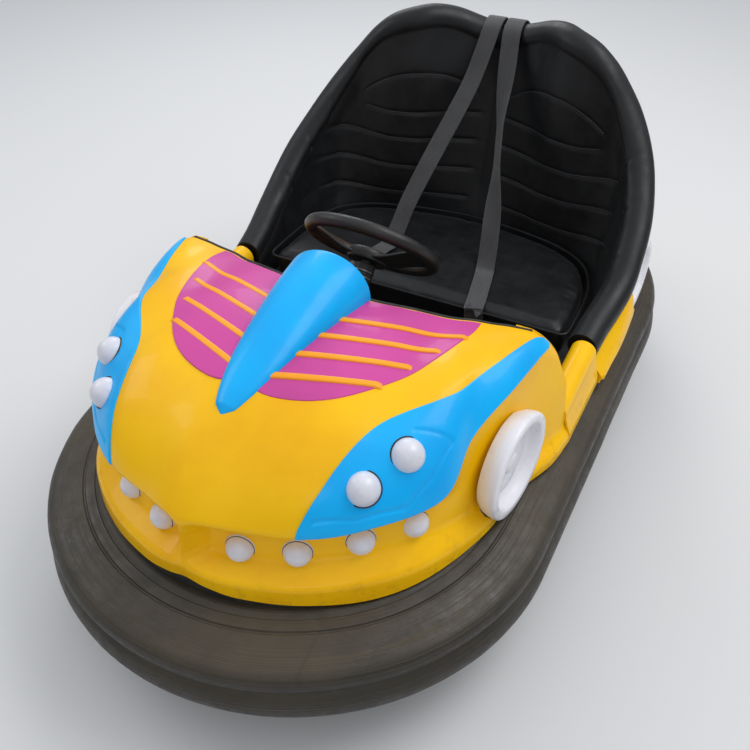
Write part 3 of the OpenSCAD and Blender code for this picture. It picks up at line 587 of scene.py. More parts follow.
def finishes(colours):
    """Every finish of the car, by a plain name."""
    c = {key: tuple(getattr(colours, key)) for key in ("yellow", "cyan", "magenta", "orange", "ring",
                                                       "ring_dust", "vinyl", "webbing", "lens", "disc")}
    FINISHES.update(
        yellow=gel_coat("Gel_coat_yellow", c["yellow"], linear("#F2B000")),
        cyan=gel_coat("Gel_coat_cyan", c["cyan"], linear("#0FA2EE")),
        magenta=gel_coat("Gel_coat_magenta", c["magenta"], linear("#BE4590")),
        orange=gel_coat("Gel_coat_orange", c["orange"], linear("#F79A1C")),
        ring=ring_rubber(c["ring"], c["ring_dust"]),
        vinyl=leatherette(c["vinyl"]),
        webbing=woven(c["webbing"]),
        lens=milky_lens(c["lens"]),
        disc=moulded("ABS_white", c["disc"], linear("#B9B6BE"), 0.3, 200.0, 0.0004, 0.12, 0.45),
        grip=wheel_grip(),
        abs_black=moulded("ABS_black_grained", linear("#1B1B1C"), linear("#3A3A3C"), 0.45, 420.0),
        thread=moulded("Nylon_thread", linear("#55565A"), linear("#2E2F32"), 0.6, 900.0),
        zinc=metal("Zinc_plated_steel", linear("#A2A5A8"), linear("#6E7073"), 0.32, (1, 1, 1)),
        chassis=metal("Black_painted_steel", linear("#2A2B2D"), linear("#4B4136"), 0.45, (1, 1, 1), 0.0),
        cast=metal("Cast_iron_grey", linear("#5A5D60"), linear("#3B3A38"), 0.55, (1, 1, 1), 0.7),
        brass=metal("Copper_graphite", linear("#B08D57"), linear("#4E4134"), 0.4, (1, 1, 6)),
        tyre=black_rubber("Solid_tyre_rubber", linear("#202020")),
        seal=black_rubber("Extruded_rubber_seal", linear("#161616")),
        mat=black_rubber("Ribbed_rubber_mat", linear("#1A1A1A"), 60.0),
    )


# The car's own lines, in millimetres, as its solids have them. The mouth beside the keel and the
# pods' edges are drawn finer here.

RING_W, RING_L, NOSE_R, CORNER_R = 562, 984, 570, 546
CORNER_X = RING_W - CORNER_R
NOSE_Y = RING_L - NOSE_R
CORNER_Y = NOSE_Y + math.sqrt((NOSE_R - CORNER_R) ** 2 - CORNER_X ** 2)
NOSE_A = math.atan2(CORNER_X, CORNER_Y - NOSE_Y)
RING_SLOPE = math.tan(math.radians(14))

# stations: middle, keel, three mouth lamps, corner, ahead of the disc, disc, behind it, doorway
HEM = [(0, -850, 349), (45, -849, 341), (109, -837, 332), (211, -798, 326), (315, -725, 317),
       (390, -628, 315), (444, -486, 313), (464, -350, 311), (500, -246, 310), (512, -160, 310)]
LIP = [(0, -854, 385), (45, -850, 378), (109, -836, 374), (211, -796, 371), (314, -723, 367),
       (388, -626, 352), (441, -486, 335), (462, -350, 333), (498, -246, 332), (510, -160, 332)]
MOUTH_LOW = [(0, -847, 402), (30, -801, 396), (96, -787, 393), (190, -751, 393), (287, -687, 397),
             (362, -598, 388), (408, -488, 362), (432, -352, 347), (474, -242, 348), (496, -160, 350)]
MOUTH_HIGH = [(0, -841, 446), (28, -790, 446), (93, -776, 446), (186, -741, 446), (280, -677, 452),
              (355, -589, 452), (402, -486, 438), (428, -354, 445), (462, -238, 450), (486, -160, 466)]
BROW = [(0, -837, 488), (42, -830, 488), (107, -807, 480), (198, -778, 479), (292, -713, 480),
        (392, -592, 489), (396, -474, 540), (427, -350, 572), (446, -236, 577), (462, -176, 545)]
SHOULDER = [(0, -700, 692), (41, -700, 691), (100, -700, 689), (232, -704, 682), (262, -640, 690),
            (340, -545, 690), (372, -400, 655), (408, -300, 632), (432, -214, 612), (444, -184, 584)]
COWL = [(0, -274, 638), (38, -280, 638), (95, -283, 634), (180, -258, 622), (245, -227, 602),
        (290, -210, 598), (330, -206, 600), (362, -204, 604), (390, -201, 604), (410, -196, 602)]
POD_TOP = [(3.0, 0.05), (3.1, 0.20), (3.2, 0.29), (3.35, 0.36), (3.6, 0.425), (4, 0.47), (4.5, 0.50),
           (5, 0.51), (5.5, 0.48), (6, 0.46), (6.5, 0.48), (7, 0.52), (7.5, 0.54), (8, 0.55),
           (8.4, 0.55), (8.6, 0.53), (8.72, 0.49), (8.8, 0.42)]
POD_LOW = [(7.7, 0.0), (8.1, 0.06), (8.4, 0.15), (8.6, 0.24), (8.74, 0.33), (8.8, 0.42)]
HEAD_LAMPS = [((278, -672, 545), (0.36, -0.62, 0.70)), ((322, -591, 572), (0.55, -0.45, 0.70))]
MOUTH_LAMPS = [((85, -786, 408), (0.25, -0.96, 0.12)), ((184, -750, 409), (0.42, -0.9, 0.12)),
               ((278, -686, 423), (0.62, -0.78, 0.1)), ((346, -604, 420), (0.8, -0.6, 0.05))]
HEAD_R, MOUTH_R = 29, 25
FRONT_DISC = ((472, -384, 418), -6, 114, 44)
REAR_DISC = ((514, 378, 416), -2, 98, 26)

ROLL = [(0, 700, 832), (66, 690, 850), (124, 668, 872), (170, 636, 884), (212, 606, 882),
        (275, 584, 862), (328, 572, 822), (380, 552, 758), (425, 512, 688), (455, 462, 625),
        (478, 388, 560), (486, 308, 500), (486, 239, 452), (470, 141, 415), (462, 67, 392)]
FOOT = [(0, 532, 0), (66, 528, 0), (124, 520, 0), (155, 515, 0), (185, 508, 0), (230, 497, 0),
        (280, 480, 0), (330, 452, 0), (368, 416, 0), (392, 372, 0), (408, 326, 0), (416, 280, 0),
        (420, 220, 0), (421, 141, 0), (421, 80, 0)]
REAR_HEM = [(0, 850, 318), (88, 842, 318), (170, 818, 317), (210, 800, 316), (250, 780, 315),
            (310, 742, 314), (372, 690, 313), (425, 620, 312), (465, 535, 311), (492, 440, 310),
            (506, 340, 310), (511, 250, 310), (512, 160, 310), (512, 110, 310), (512, 60, 310)]
SEAT_END = len(ROLL) - 1
ROLL_R = 36
SKIN = 5
BELT_W, BELT_T = 48, 3
BASE_Z = 320
CUSHION_TOP = 393
CUSHION_FRONT = 95

BELT = [(31, 744, 738), (31, 743, 790), (31, 740, 834), (30, 729, 868), (28, 704, 886), (28, 680, 884),
        (29, 655, 868), (34, 632, 830), (47, 583, 752), (66, 519, 679), (85, 461, 615), (104, 405, 550),
        (120, 353, 488), (131, 312, 430), (138, 280, 397), (148, 240, 394), (168, 150, 394),
        (178, 98, 394), (180, 94.5, 393), (181, 94, 381), (181, 94, 320)]

TILT = math.radians(48)
COLUMN = Matrix.Translation((0, -93, 632)) @ Matrix.Rotation(-TILT, 4, "X")
COLUMN_LEN = 317 / math.sin(TILT)
WHEEL_R, RIM_R, HUB_DROP = 142, 15, 34


def ring_path():
    """Centre, direction and radius of the ring's plan at steps all the way round, from the nose."""
    quarter = [((0, -NOSE_Y), NOSE_A * i / 14, NOSE_R) for i in range(15)]
    quarter += [((CORNER_X, -CORNER_Y), mix(NOSE_A, math.pi / 2, i / 22), CORNER_R)
                for i in range(1, 23)]
    left = [(Vector((x, y)), Vector((math.sin(a), -math.cos(a))), r) for (x, y), a, r in quarter]
    side = [(Vector((CORNER_X, mix(-CORNER_Y, CORNER_Y, i / 44))), Vector((1, 0)), CORNER_R)
            for i in range(1, 44)]
    rear = [(Vector((c.x, -c.y)), Vector((d.x, -d.y)), r) for c, d, r in reversed(left)]
    half = left + side + rear
    other = [(Vector((-c.x, c.y)), Vector((-d.x, d.y)), r) for c, d, r in reversed(half[1:-1])]
    return half + other


def ring_section():
    """The ring's section as (distance in from the widest line, height), closed."""
    low = [(50 - 50 * math.cos(math.radians(a)), 190 + 50 * math.sin(math.radians(a)))
           for a in range(-84, 60, 12)]
    high = [(37 - 30 * math.cos(math.radians(a)), 254 + 30 * math.sin(math.radians(a)))
            for a in (-24, -8, 8, 24, 38, 50, 62, 72)]
    def top(i, dip=0.0):
        return (i, 283.1 + (i - 29.7) * RING_SLOPE + 3.0 * math.sin(math.pi * (i - 30) / 118) - dip)
    broad = [top(i, d) for i, d in ((34, 0), (46, 0), (58, 0), (70, 0), (82, 0), (88, 0.2), (90, 2.4),
                                    (93, 2.6), (95, 0.2), (104, 0), (114, 0), (116, 1.6), (118, 1.6),
                                    (120, 0), (130, 0), (140, 0.6), (145, 2.2), (147.5, 5))]
    return low + [(27, 236)] + high + broad + [(148, 300), (148, 240), (148, 160), (144, 153), (110, 148),
                                               (70, 141)]


def hood_at(u, v):
    return bezier(across(BROW, u), across(SHOULDER, u), across(COWL, u), v)


def brow_corner(u):
    """The rounded corner between the mouth's upper edge and the hood, and where the hood starts."""
    brow = across(BROW, u)
    high = across(MOUTH_HIGH, u)
    start = 0.1 * min(12 / (hood_at(u, 0.1) - brow).length, 1.2)
    below = brow + unit(high - brow) * min(9, 0.45 * (high - brow).length)
    return below, brow, hood_at(u, start), start


def hood_point(u, v):
    """A point of the hood, v = 0 in the middle of the brow's rounding and 1 at the cowl's edge."""
    a, b, c, start = brow_corner(u)
    return hood_at(u, v) if v >= start else bezier(a, b, c, 0.5 + 0.5 * v / start)


def hood_out(u, v):
    e = 0.01
    v = max(v, e)
    along = hood_point(min(u + e, 9), v) - hood_point(u - e, v)
    up = hood_point(u, min(v + e, 1)) - hood_point(u, v - e)
    n = unit(along.cross(up))
    return n if n.dot(hood_point(u, v) - Vector((0, -300, 300))) > 0 else -n


def corner(a, b, c, r, n):
    """A corner of a profile, rounded in n steps."""
    p = b + unit(a - b) * min(r, 0.45 * (a - b).length)
    q = b + unit(c - b) * min(r, 0.45 * (c - b).length)
    return [bezier(p, b, q, i / n) for i in range(n + 1)]


def keeled(row, u):
    """A row's point, with a sharp ridge on the car's middle plane."""
    if abs(u) >= 1:
        return across(row, u)
    first, second = Vector(row[0]), Vector(row[1])
    second.x = math.copysign(second.x, u)
    return mix(first, second, abs(u) ** 0.62)


def body_profile(u):
    """The front body's profile at a station, from the hem to the cowl's edge."""
    hem = across(HEM, u)
    lip, low, high = (keeled(row, u) for row in (LIP, MOUTH_LOW, MOUTH_HIGH))
    below, brow, above, start = brow_corner(u)
    rows = [hem, mix(hem, lip, 0.3)] + corner(hem, lip, low, 14, 6) + corner(lip, low, high, 12, 6)
    rows += corner(low, high, brow, 8, 4) + [bezier(below, brow, above, i / 8) for i in range(9)]
    return rows + [hood_at(u, mix(start, 1, i / 34)) for i in range(1, 35)]


def disc_frame(disc):
    """Matrix that takes a disc's own axis, +z, to its place on the left side."""
    at, turn, _, _ = disc
    return (Matrix.Translation(at) @ Matrix.Rotation(math.radians(turn), 4, "Z")
            @ Matrix.Rotation(math.pi / 2, 4, "Y"))


def open_for_disc(bm, disc):
    """Opens a skin round a wheel disc, on both sides, where it would stand before the disc's face."""
    there = disc_frame(disc)
    back = there.inverted()
    _, _, radius, depth = disc
    hole = radius + 1.5

    def local(p):
        q = back @ Vector((abs(p.x), p.y, p.z))
        return q, math.hypot(q.x, q.y)
    for v in bm.verts:
        q, r = local(v.co)
        if hole - 7 < r < hole + 2.5 and -depth * 0.9 < q.z < 90:
            q.x, q.y = q.x * hole / r, q.y * hole / r
            p = there @ q
            v.co = Vector((math.copysign(p.x, v.co.x), p.y, p.z))
    gone = []
    for f in bm.faces:
        q, r = local(f.calc_center_median())
        if r < hole and -depth * 0.9 < q.z < 90:
            gone.append(f)
    bmesh.ops.delete(bm, geom=gone, context="FACES")


def rise(edge, high, round_by=4.0):
    """Height of a raised panel at a distance from its edge."""
    t = min(max(edge / round_by, 0.0), 1.0)
    return -1.5 + (high + 1.5) * math.sqrt(1 - (1 - t) ** 2)


def near_line(p, line):
    """Distance of a point from a run of points."""
    best = 1e9
    for a, b in zip(line, line[1:]):
        d = b - a
        t = min(max((p - a).dot(d) / d.length_squared, 0), 1)
        best = min(best, (p - a - d * t).length)
    return best


HOOD = {}


def on_hood(x, y, side=1):
    """The hood's surface over a place in plan, and its direction there."""
    spot, normal, _, _ = HOOD["tree"].ray_cast(Vector((x * side, y, 1200)), Vector((0, 0, -1)))
    if spot is None:
        raise RuntimeError(f"no hood over {x}, {y}")
    return spot, normal if normal.z > 0 else -normal


# Pieces

class CARLOOKS_OT_finishes(bpy.types.Operator):
    """Makes every finish of the car from its colours"""
    bl_idname = "carlooks.finishes"
    bl_label = "Finishes"

    def execute(self, context):
        finishes(context.scene.car_colours)
        return {"FINISHED"}


class CARLOOKS_OT_ring(bpy.types.Operator):
    """Rubber bumper ring with its two rolls, the lines on its broad top and small dents"""
    bl_idname = "carlooks.ring"
    bl_label = "Bumper ring"

    def execute(self, context):
        path, section = ring_path(), ring_section()
        n, m = len(path), len(section)

        def place(s, t):
            centre, way, radius = path[round(s * n) % n]
            inset, z = section[round(t * m) % m]
            p = centre + way * (radius - inset)
            worn = noise.noise(Vector((p.x, p.y, z)) * 0.006) * 2.2 + noise.noise(
                Vector((p.x, p.y, z)) * 0.03) * 0.7
            p = p - way * max(worn, 0) if inset < 147 else p
            return Vector((p.x, p.y, z - (max(-worn, 0) if z > 200 and inset < 147 else 0)))
        bm = outwards(weld(grid(n, m, place)))
        piece("ring_rubber_body", bm, FINISHES["ring"], stands_for=["bumper_ring"])
        return {"FINISHED"}


class CARLOOKS_OT_front_body(bpy.types.Operator):
    """Front body: hood, mouth, lip and keel in one moulded skin"""
    bl_idname = "carlooks.front_body"
    bl_label = "Front body"

    def execute(self, context):
        count = 216
        profiles = [body_profile(mix(-9, 9, i / count)) for i in range(count + 1)]
        rows = len(profiles[0]) - 1
        bm = grid(count, rows, lambda s, t: profiles[round(s * count)][round(t * rows)])
        face_along(bm, (0, -1, 1))
        HOOD["tree"] = BVHTree.FromBMesh(bm)
        open_for_disc(bm, FRONT_DISC)
        thicken(bm, SKIN)
        piece("front_body_skin", bm, FINISHES["yellow"], stands_for=["front_shell"],
              crease=48)

        def turned_in(side):
            edge = body_profile(8.999)[:-1]
            rows = len(edge) - 1

            def place(s, t):
                p = edge[round(s * rows)]
                turn = math.pi / 2 * min(t / 0.4, 1)
                return p + Vector((-3 - 5 * (1 - math.cos(turn)) - 30 * max(t - 0.4, 0) / 0.6,
                                   3 * math.sin(turn), 0))
            return mirrored(thicken(face_along(grid(rows, 10, place), (0, 1, 0)), 3), side)
        piece("doorway_edges", joined([turned_in(1), turned_in(-1)]), FINISHES["yellow"],
              crease=50)
        # soft rubber edge along the back of the hood
        edge = [across(COWL, mix(-8.9, 8.9, i / 120)) + Vector((0, 1, -2)) for i in range(121)]
        piece("cowl_edge_trim", tube(edge, 4.5, 10), FINISHES["seal"])
        return {"FINISHED"}


class CARLOOKS_OT_pods(bpy.types.Operator):
    """Raised lamp pods on both sides, with the fine line cut round the lamps"""
    bl_idname = "carlooks.pods"
    bl_label = "Lamp pods"

    def execute(self, context):
        high = context.scene.car_sizes.panel_rise * 1000
        line = [Vector(p) for p in ((318, -555, 0), (378, -522, 0), (368, -592, 0), (346, -645, 0),
                                    (278, -712, 0), (222, -752, 0))]
        first, last, pitch = 3.0, 8.8, 92

        def place(s, t):
            u = mix(first, last, crowd(s))
            low = table(POD_LOW, u)
            near = min(0.16, u - first, last - u)
            top = sum(table(POD_TOP, u + d * near) for d in (-1, -0.5, 0, 0.5, 1)) / 5
            top = max(top, low)
            share = crowd(t)
            v = mix(low, top, share)
            p = hood_point(u, v)
            width = (hood_point(u, top) - hood_point(u, low)).length
            edge = min(share * width, (1 - share) * width, (u - first) * pitch, (last - u) * pitch)
            h = rise(edge, high)
            if edge > 5:
                h -= 2.2 * max(0.0, 1 - (near_line(Vector((p.x, p.y, 0)), line) / 2.4) ** 2)
            return p + hood_out(u, v) * h
        for side, name in SIDES:
            bm = face_along(grid(250, 90, place), (1, -0.5, 0.6))
            thicken(bm, 1.2)
            piece(f"pod_panel_{name}", mirrored(bm, side), FINISHES["cyan"],
                  stands_for=[f"pod_{name}"], crease=50)
        return {"FINISHED"}


CONE_TIP = 0.40


def cone_foot(grow):
    """Where the nose cone stands on the hood, from its tip at 0 to the cowl's edge at 1."""
    return hood_at(mix(0.12, 2.0, math.sqrt(grow)), mix(CONE_TIP, 1, grow))


class CARLOOKS_OT_louvres(bpy.types.Operator):
    """Louvre panels on the hood and the four bars on each"""
    bl_idname = "carlooks.louvres"
    bl_label = "Louvre panels"

    def execute(self, context):
        sizes = context.scene.car_sizes
        high, bar = sizes.louvre_rise * 1000, sizes.bar_rise * 1000
        # the panels run in under the nose cone
        inner = [cone_foot(g) - Vector((5, 0, 0)) for g in (1.0, 0.9, 0.75, 0.6, 0.45, 0.3, 0.2)]
        outer = [(309, -242, 0), (311, -285, 0), (301, -340, 0), (284, -400, 0), (264, -451, 0),
                 (237, -497, 0), (208, -537, 0), (176, -569, 0), (141, -592, 0), (105, -607, 0),
                 (70, -616, 0), (46, -618, 0)]

        def panel(side):
            def place(s, t):
                s = crowd(s)
                share = crowd(t)
                a, b = through(inner, s), through(outer, s)
                p = mix(a, b, share)
                back = mix(through(inner, 0), through(outer, 0), share)
                over = back.y - table([(x, y) for x, y, _ in COWL], back.x) + 6
                p.y -= over * max(0.0, 1 - s * 3)
                p.y = min(p.y, table([(x, y) for x, y, _ in COWL], p.x) - 4 - 20 * s)
                width = (b - a).length
                edge = min(share * width, (1 - share) * width, s * 420, (1 - s) * 300)
                spot, out = on_hood(p.x, p.y, side)
                return spot + out * rise(edge, high)
            return thicken(face_along(grid(90, 60, place), (0, 0, 1)), 1.2)

        def bars(side):
            parts = []
            for i in range(4):
                a = Vector(mix(Vector((95, -376)), Vector((53, -574)), i / 3))
                b = Vector(mix(Vector((304, -295)), Vector((220, -511)), i / 3))
                a, b = a - unit(b - a) * 22, b + unit(b - a) * (7 + 2 * i)
                cross = unit(Vector((a.y - b.y, b.x - a.x)))
                run = (b - a).length

                def place(s, t):
                    angle = math.pi * t
                    end = ease((1 - s) * run / 10)
                    p = mix(a, b, s) + cross * 6.4 * squared(math.cos(angle), 0.6)
                    spot, out = on_hood(p.x, p.y, side)
                    return spot + out * (-1.2 + (high + bar + 1.2) * math.sin(angle) ** 0.4 * (
                        0.3 + 0.7 * end))
                parts.append(thicken(face_along(grid(56, 16, place), (0, 0, 1)), 0.8))
            return joined(parts)
        for side, name in SIDES:
            piece(f"louvre_panel_{name}", panel(side), FINISHES["magenta"],
                  stands_for=[f"louvre_{name}"], crease=50)
            piece(f"louvre_bars_{name}_moulded", bars(side), FINISHES["orange"],
                  stands_for=[f"louvre_bars_{name}"], crease=60)
        return {"FINISHED"}


class CARLOOKS_OT_nose_cone(bpy.types.Operator):
    """Nose cone that grows from its blunt tip to an arch over the steering column"""
    bl_idname = "carlooks.nose_cone"
    bl_label = "Nose cone"

    def execute(self, context):
        top_z = 724
        tip_z = hood_at(0, CONE_TIP).z + 8

        def place(s, t):
            grow = s ** 1.3
            foot = cone_foot(grow)
            top = mix(tip_z, top_z, 1 - (1 - grow) ** 1.35)
            a = math.pi * t
            blunt = min(grow / 0.05, 1.0) ** 0.6
            lift = (top - foot.z) * math.sin(a) ** mix(1.3, 0.9, grow)
            return Vector((foot.x * math.cos(a) * blunt, foot.y, foot.z - 3 + (lift + 3) * blunt))
        bm = grid(90, 48, place)
        weld(bm)
        thicken(face_along(bm, (0, -0.3, 1)), 4.5)
        rim = [e for e in bm.edges if len(e.link_faces) == 2 and e.calc_face_angle(0) > 1.2
               and e.verts[0].co.y > -300 and e.verts[1].co.y > -300]
        rounded(bm, rim, 1.6, 3)
        piece("nose_cone_shell", bm, FINISHES["cyan"], stands_for=["nose_cone"],
              crease=50)
        return {"FINISHED"}


def lamp_profile(r):
    """A lamp's dome and rim as (radius, height)."""
    r += 2
    centre = 3 - 0.15 * r
    start = math.asin((1.4 - centre) / r)
    dome = [(r * math.cos(a), centre + r * math.sin(a))
            for a in [mix(math.pi / 2, start, i / 14) for i in range(15)]]
    dome[0] = (0, centre + r)
    return dome + [(r + 1.4, 0.6), (r + 2, -0.4), (r + 2, -5), (0, -5)]


class CARLOOKS_OT_lamps(bpy.types.Operator):
    """Milky lamp domes of the pods and the mouth, each in a thin black ring that is painted shade for the
    gap round it
    """
    bl_idname = "carlooks.lamps"
    bl_label = "Lamps"

    def execute(self, context):
        def lamp(r, at, way, side):
            return mirrored(moved(turned(lamp_profile(r), 56), looking(at, way)), side)

        def shadow_gap_ring(r, thick, at, way, side):
            """A thin black ring round a lamp: painted shade standing for the shadow gap round it."""
            there = looking(at, way)
            ring = [there @ Vector((r * math.cos(a), r * math.sin(a), 1))
                    for a in [2 * math.pi * i / 48 for i in range(48)]]
            return mirrored(tube(ring, thick, 8, closed=True), side)

        def bezel(at, way, side):
            """A collar of the pod's own moulding that carries a headlamp."""
            r = HEAD_R + 4
            ring = turned([(0, -24), (r + 4, -24), (r + 1.6, -3), (r + 0.6, -0.6), (r - 1.4, 0.3), (0, 0.3)],
                          56)
            return mirrored(moved(ring, looking(at, way)), side)
        heads = [(Vector(at) + Vector(way).normalized() * 6, way) for at, way in HEAD_LAMPS]
        for side, name in SIDES:
            piece(f"headlamp_domes_{name}", joined([lamp(HEAD_R, *l, side) for l in heads]),
                  FINISHES["lens"], stands_for=[f"headlamps_{name}"])
            piece(f"headlamp_bezels_{name}", joined([bezel(*l, side) for l in heads]), FINISHES["cyan"])
        both = [(l, side) for side in (1, -1) for l in MOUTH_LAMPS]
        piece("mouth_lamp_domes", joined([lamp(MOUTH_R, *l, side) for l, side in both]),
              FINISHES["lens"], stands_for=["mouth_lamps"])
        # black rings round every lamp: painted shade in place of the shadow gaps round them
        rings = [shadow_gap_ring(HEAD_R + 3, 1.5, *l, side) for side in (1, -1) for l in heads]
        rings += [shadow_gap_ring(MOUTH_R + 2, 1.0, *l, side) for l, side in both]
        piece("lamp_shadow_rings", joined(rings), FINISHES["seal"])
        return {"FINISHED"}


class CARLOOKS_OT_discs(bpy.types.Operator):
    """Dished wheel discs, two in the front body and two in the tail"""
    bl_idname = "carlooks.discs"
    bl_label = "Wheel discs"

    def execute(self, context):
        def disc(r, d):
            return [(0, -d), (r - 13, -d), (r - 4, -d * 0.7), (r - 0.8, -d * 0.42), (r, -9), (r - 0.6, -4),
                    (r - 2.4, -1.4), (r - 5.5, 0), (r - 17, 0), (r - 20, -0.8), (r - 22.5, -3),
                    (r - 25, -6.5), (r - 27, -9), (r - 30, -d * 0.36), (r - 33, -d * 0.47),
                    (r - 37, -d * 0.53), (r - 42, -d * 0.55), (r - 44, -d * 0.59), (r - 47, -d * 0.59),
                    (r - 49, -d * 0.56), (36, -d * 0.60), (27, -d * 0.61), (24, -d * 0.58),
                    (22, -d * 0.48), (19, -d * 0.43), (15, -d * 0.41), (0, -d * 0.40)]
        for side, name in SIDES:
            for end, spec in (("front", FRONT_DISC), ("rear", REAR_DISC)):
                bm = moved(turned(disc(spec[2], spec[3]), 96), disc_frame(spec))
                if end == "rear":
                    # the top tucks under the seat's roll
                    way = Vector((-8, 80, 60)).normalized()
                    for v in bm.verts:
                        rel = v.co - Vector((486, 308, 500))
                        radial = rel - way * rel.dot(way)
                        if radial.length < 38:
                            v.co += unit(radial) * (38 - radial.length)
                piece(f"{end}_wheel_disc_{name}", mirrored(bm, side), FINISHES["disc"],
                      stands_for=[f"{end}_disc_{name}"], crease=42)
        return {"FINISHED"}


def out_of(row, u):
    """Level direction that points out of a row at a station."""
    a = across(row, max(u - 0.2, -SEAT_END))
    b = across(row, min(u + 0.2, SEAT_END))
    d = unit(Vector((b.x - a.x, b.y - a.y, 0)))
    return Vector((-d.y, d.x, 0))


def rear_profile(u):
    """Control points of the rear body's wall at a station."""
    hem, out = across(REAR_HEM, u), out_of(ROLL, u)
    top = across(ROLL, u) + out * (ROLL_R - 12) - Vector((0, 0, ROLL_R + 2))
    return [hem, hem + Vector((0, 0, 20)), mix(hem, top, 0.25) + out * 14, mix(hem, top, 0.65) + out * 10,
            top]


class CARLOOKS_OT_rear_body(bpy.types.Operator):
    """Rear body wall from the hem up to the seat's roll, and the two door sills"""
    bl_idname = "carlooks.rear_body"
    bl_label = "Rear body and sills"

    def execute(self, context):
        count, rows = 224, 30
        walls = [rear_profile(mix(-SEAT_END, SEAT_END, i / count)) for i in range(count + 1)]
        bm = grid(count, rows, lambda s, t: through(walls[round(s * count)], t))
        face_along(bm, (0, 1, 0.2))
        open_for_disc(bm, REAR_DISC)
        thicken(bm, SKIN)
        piece("rear_body_skin", bm, FINISHES["yellow"], stands_for=["rear_shell"],
              crease=50)

        def sill(side):
            foot = 309

            def place(s, t):
                y = mix(-161, 58, s)
                c = Vector((468, y, mix(376, 390, s)))
                arc = [c + Vector((math.cos(a), 0, math.sin(a))) * 30
                       for a in [math.radians(-5 + 195 * k / 14) for k in range(15)]]
                path = [Vector((512, y, 310)), Vector((511.5, y, 322)), Vector((511, y, 332)),
                        Vector((505, y, 350))] + arc + [Vector((438, y, 355)), Vector((438, y, foot))]
                return through(path, t)
            bm = face_along(grid(26, 60, place), (0.5, 0, 1))
            return mirrored(thicken(bm, SKIN), side)
        for side, name in SIDES:
            piece(f"door_sill_{name}", sill(side), FINISHES["yellow"],
                  stands_for=[f"sill_{name}"], crease=50)
        return {"FINISHED"}


SEAMS = (650, 578, 500, 422)
TUCKS = (8.55, 9.8, 11.2)


def seam_height(k, x):
    return SEAMS[k] + 25 * ease((x - 250) / 180)


def arch_height(x):
    return 756 - 58 * ((x - 190) / 150) ** 2


def seam_share(k, p):
    """How deep a channel is at a place, 0 where it has ended."""
    x = abs(p.x)
    start = ease((x - 22) / 20)
    if k == 0:
        return start * ease((345 - x) / 25)
    return start * ease((p.y - 372) / 50)


def tub_wall(u, t, lobe, channel):
    """The padded inner wall, from under the roll at t = 0 to the foot at 1."""
    c, o = across(ROLL, u), out_of(ROLL, u)
    foot = across(FOOT, u) + Vector((0, 0, BASE_Z + 0.3))
    start = c - o * ROLL_R * math.cos(math.radians(25)) - Vector((0, 0, ROLL_R * math.sin(
        math.radians(25))))
    p = mix(start, foot, t) + o * 6.5 * math.sin(math.pi * min(t * 1.05, 1))
    x = abs(p.x)
    body = ease(t / 0.2) * ease((0.93 - t) / 0.22)
    swell = lobe * max(0.0, 1 - ((x - 192) / 190) ** 2) ** 0.8 if x < 382 else 0.0
    back = ease((430 - x) / 60)
    depth = swell * body - 9 * body * back
    for k in range(len(SEAMS)):
        d = (p.z - seam_height(k, x)) / 5.0
        if abs(d) < 3:
            depth -= channel * math.exp(-d * d) * seam_share(k, p) * min(body * 1.6, 1)
    if 35 < x < 345:
        d = (p.z - arch_height(x)) / 5.0
        if abs(d) < 3:
            depth -= channel * 0.9 * math.exp(-d * d) * ease((x - 35) / 25) * ease((345 - x) / 25)
    return p - o * depth


def tub_section(u, lobe, channel):
    """Points round the seat tub's wall and roll at a station."""
    c, o = across(ROLL, u), out_of(ROLL, u)
    up = Vector((0, 0, 1))
    points = []
    for i in range(31):
        a = mix(-80, 205, i / 30)
        r = ROLL_R
        for spot in TUCKS:
            d = (abs(u) - spot) / 0.055
            if abs(d) < 3:
                r -= 2.6 * math.exp(-d * d) * ease((a - 70) / 60)
        points.append(c + (o * math.cos(math.radians(a)) + up * math.sin(math.radians(a))) * r)
    points += [tub_wall(u, i / 150, lobe, channel) for i in range(1, 151)]
    foot = points[-1]
    inner = c - o * ROLL_R * math.cos(math.radians(25)) - up * ROLL_R * math.sin(math.radians(25))
    back = o * 24
    outer = [foot + back, mix(inner, foot, 0.7) + o * 6 + back, mix(inner, foot, 0.35) + o * 4 + back,
             c - o * (ROLL_R * 0.5 - 2) - up * ROLL_R * 0.866 + back * 0.4]
    points += [foot + back * 0.5] + [through(outer, i / 10) for i in range(11)]
    return points


def place_at(u, height, lobe, channel):
    """The padded wall's point at a height."""
    low, high = 0.0, 1.0
    for _ in range(18):
        half = (low + high) / 2
        if tub_wall(u, half, lobe, channel).z > height:
            low = half
        else:
            high = half
    return tub_wall(u, (low + high) / 2, lobe, channel)


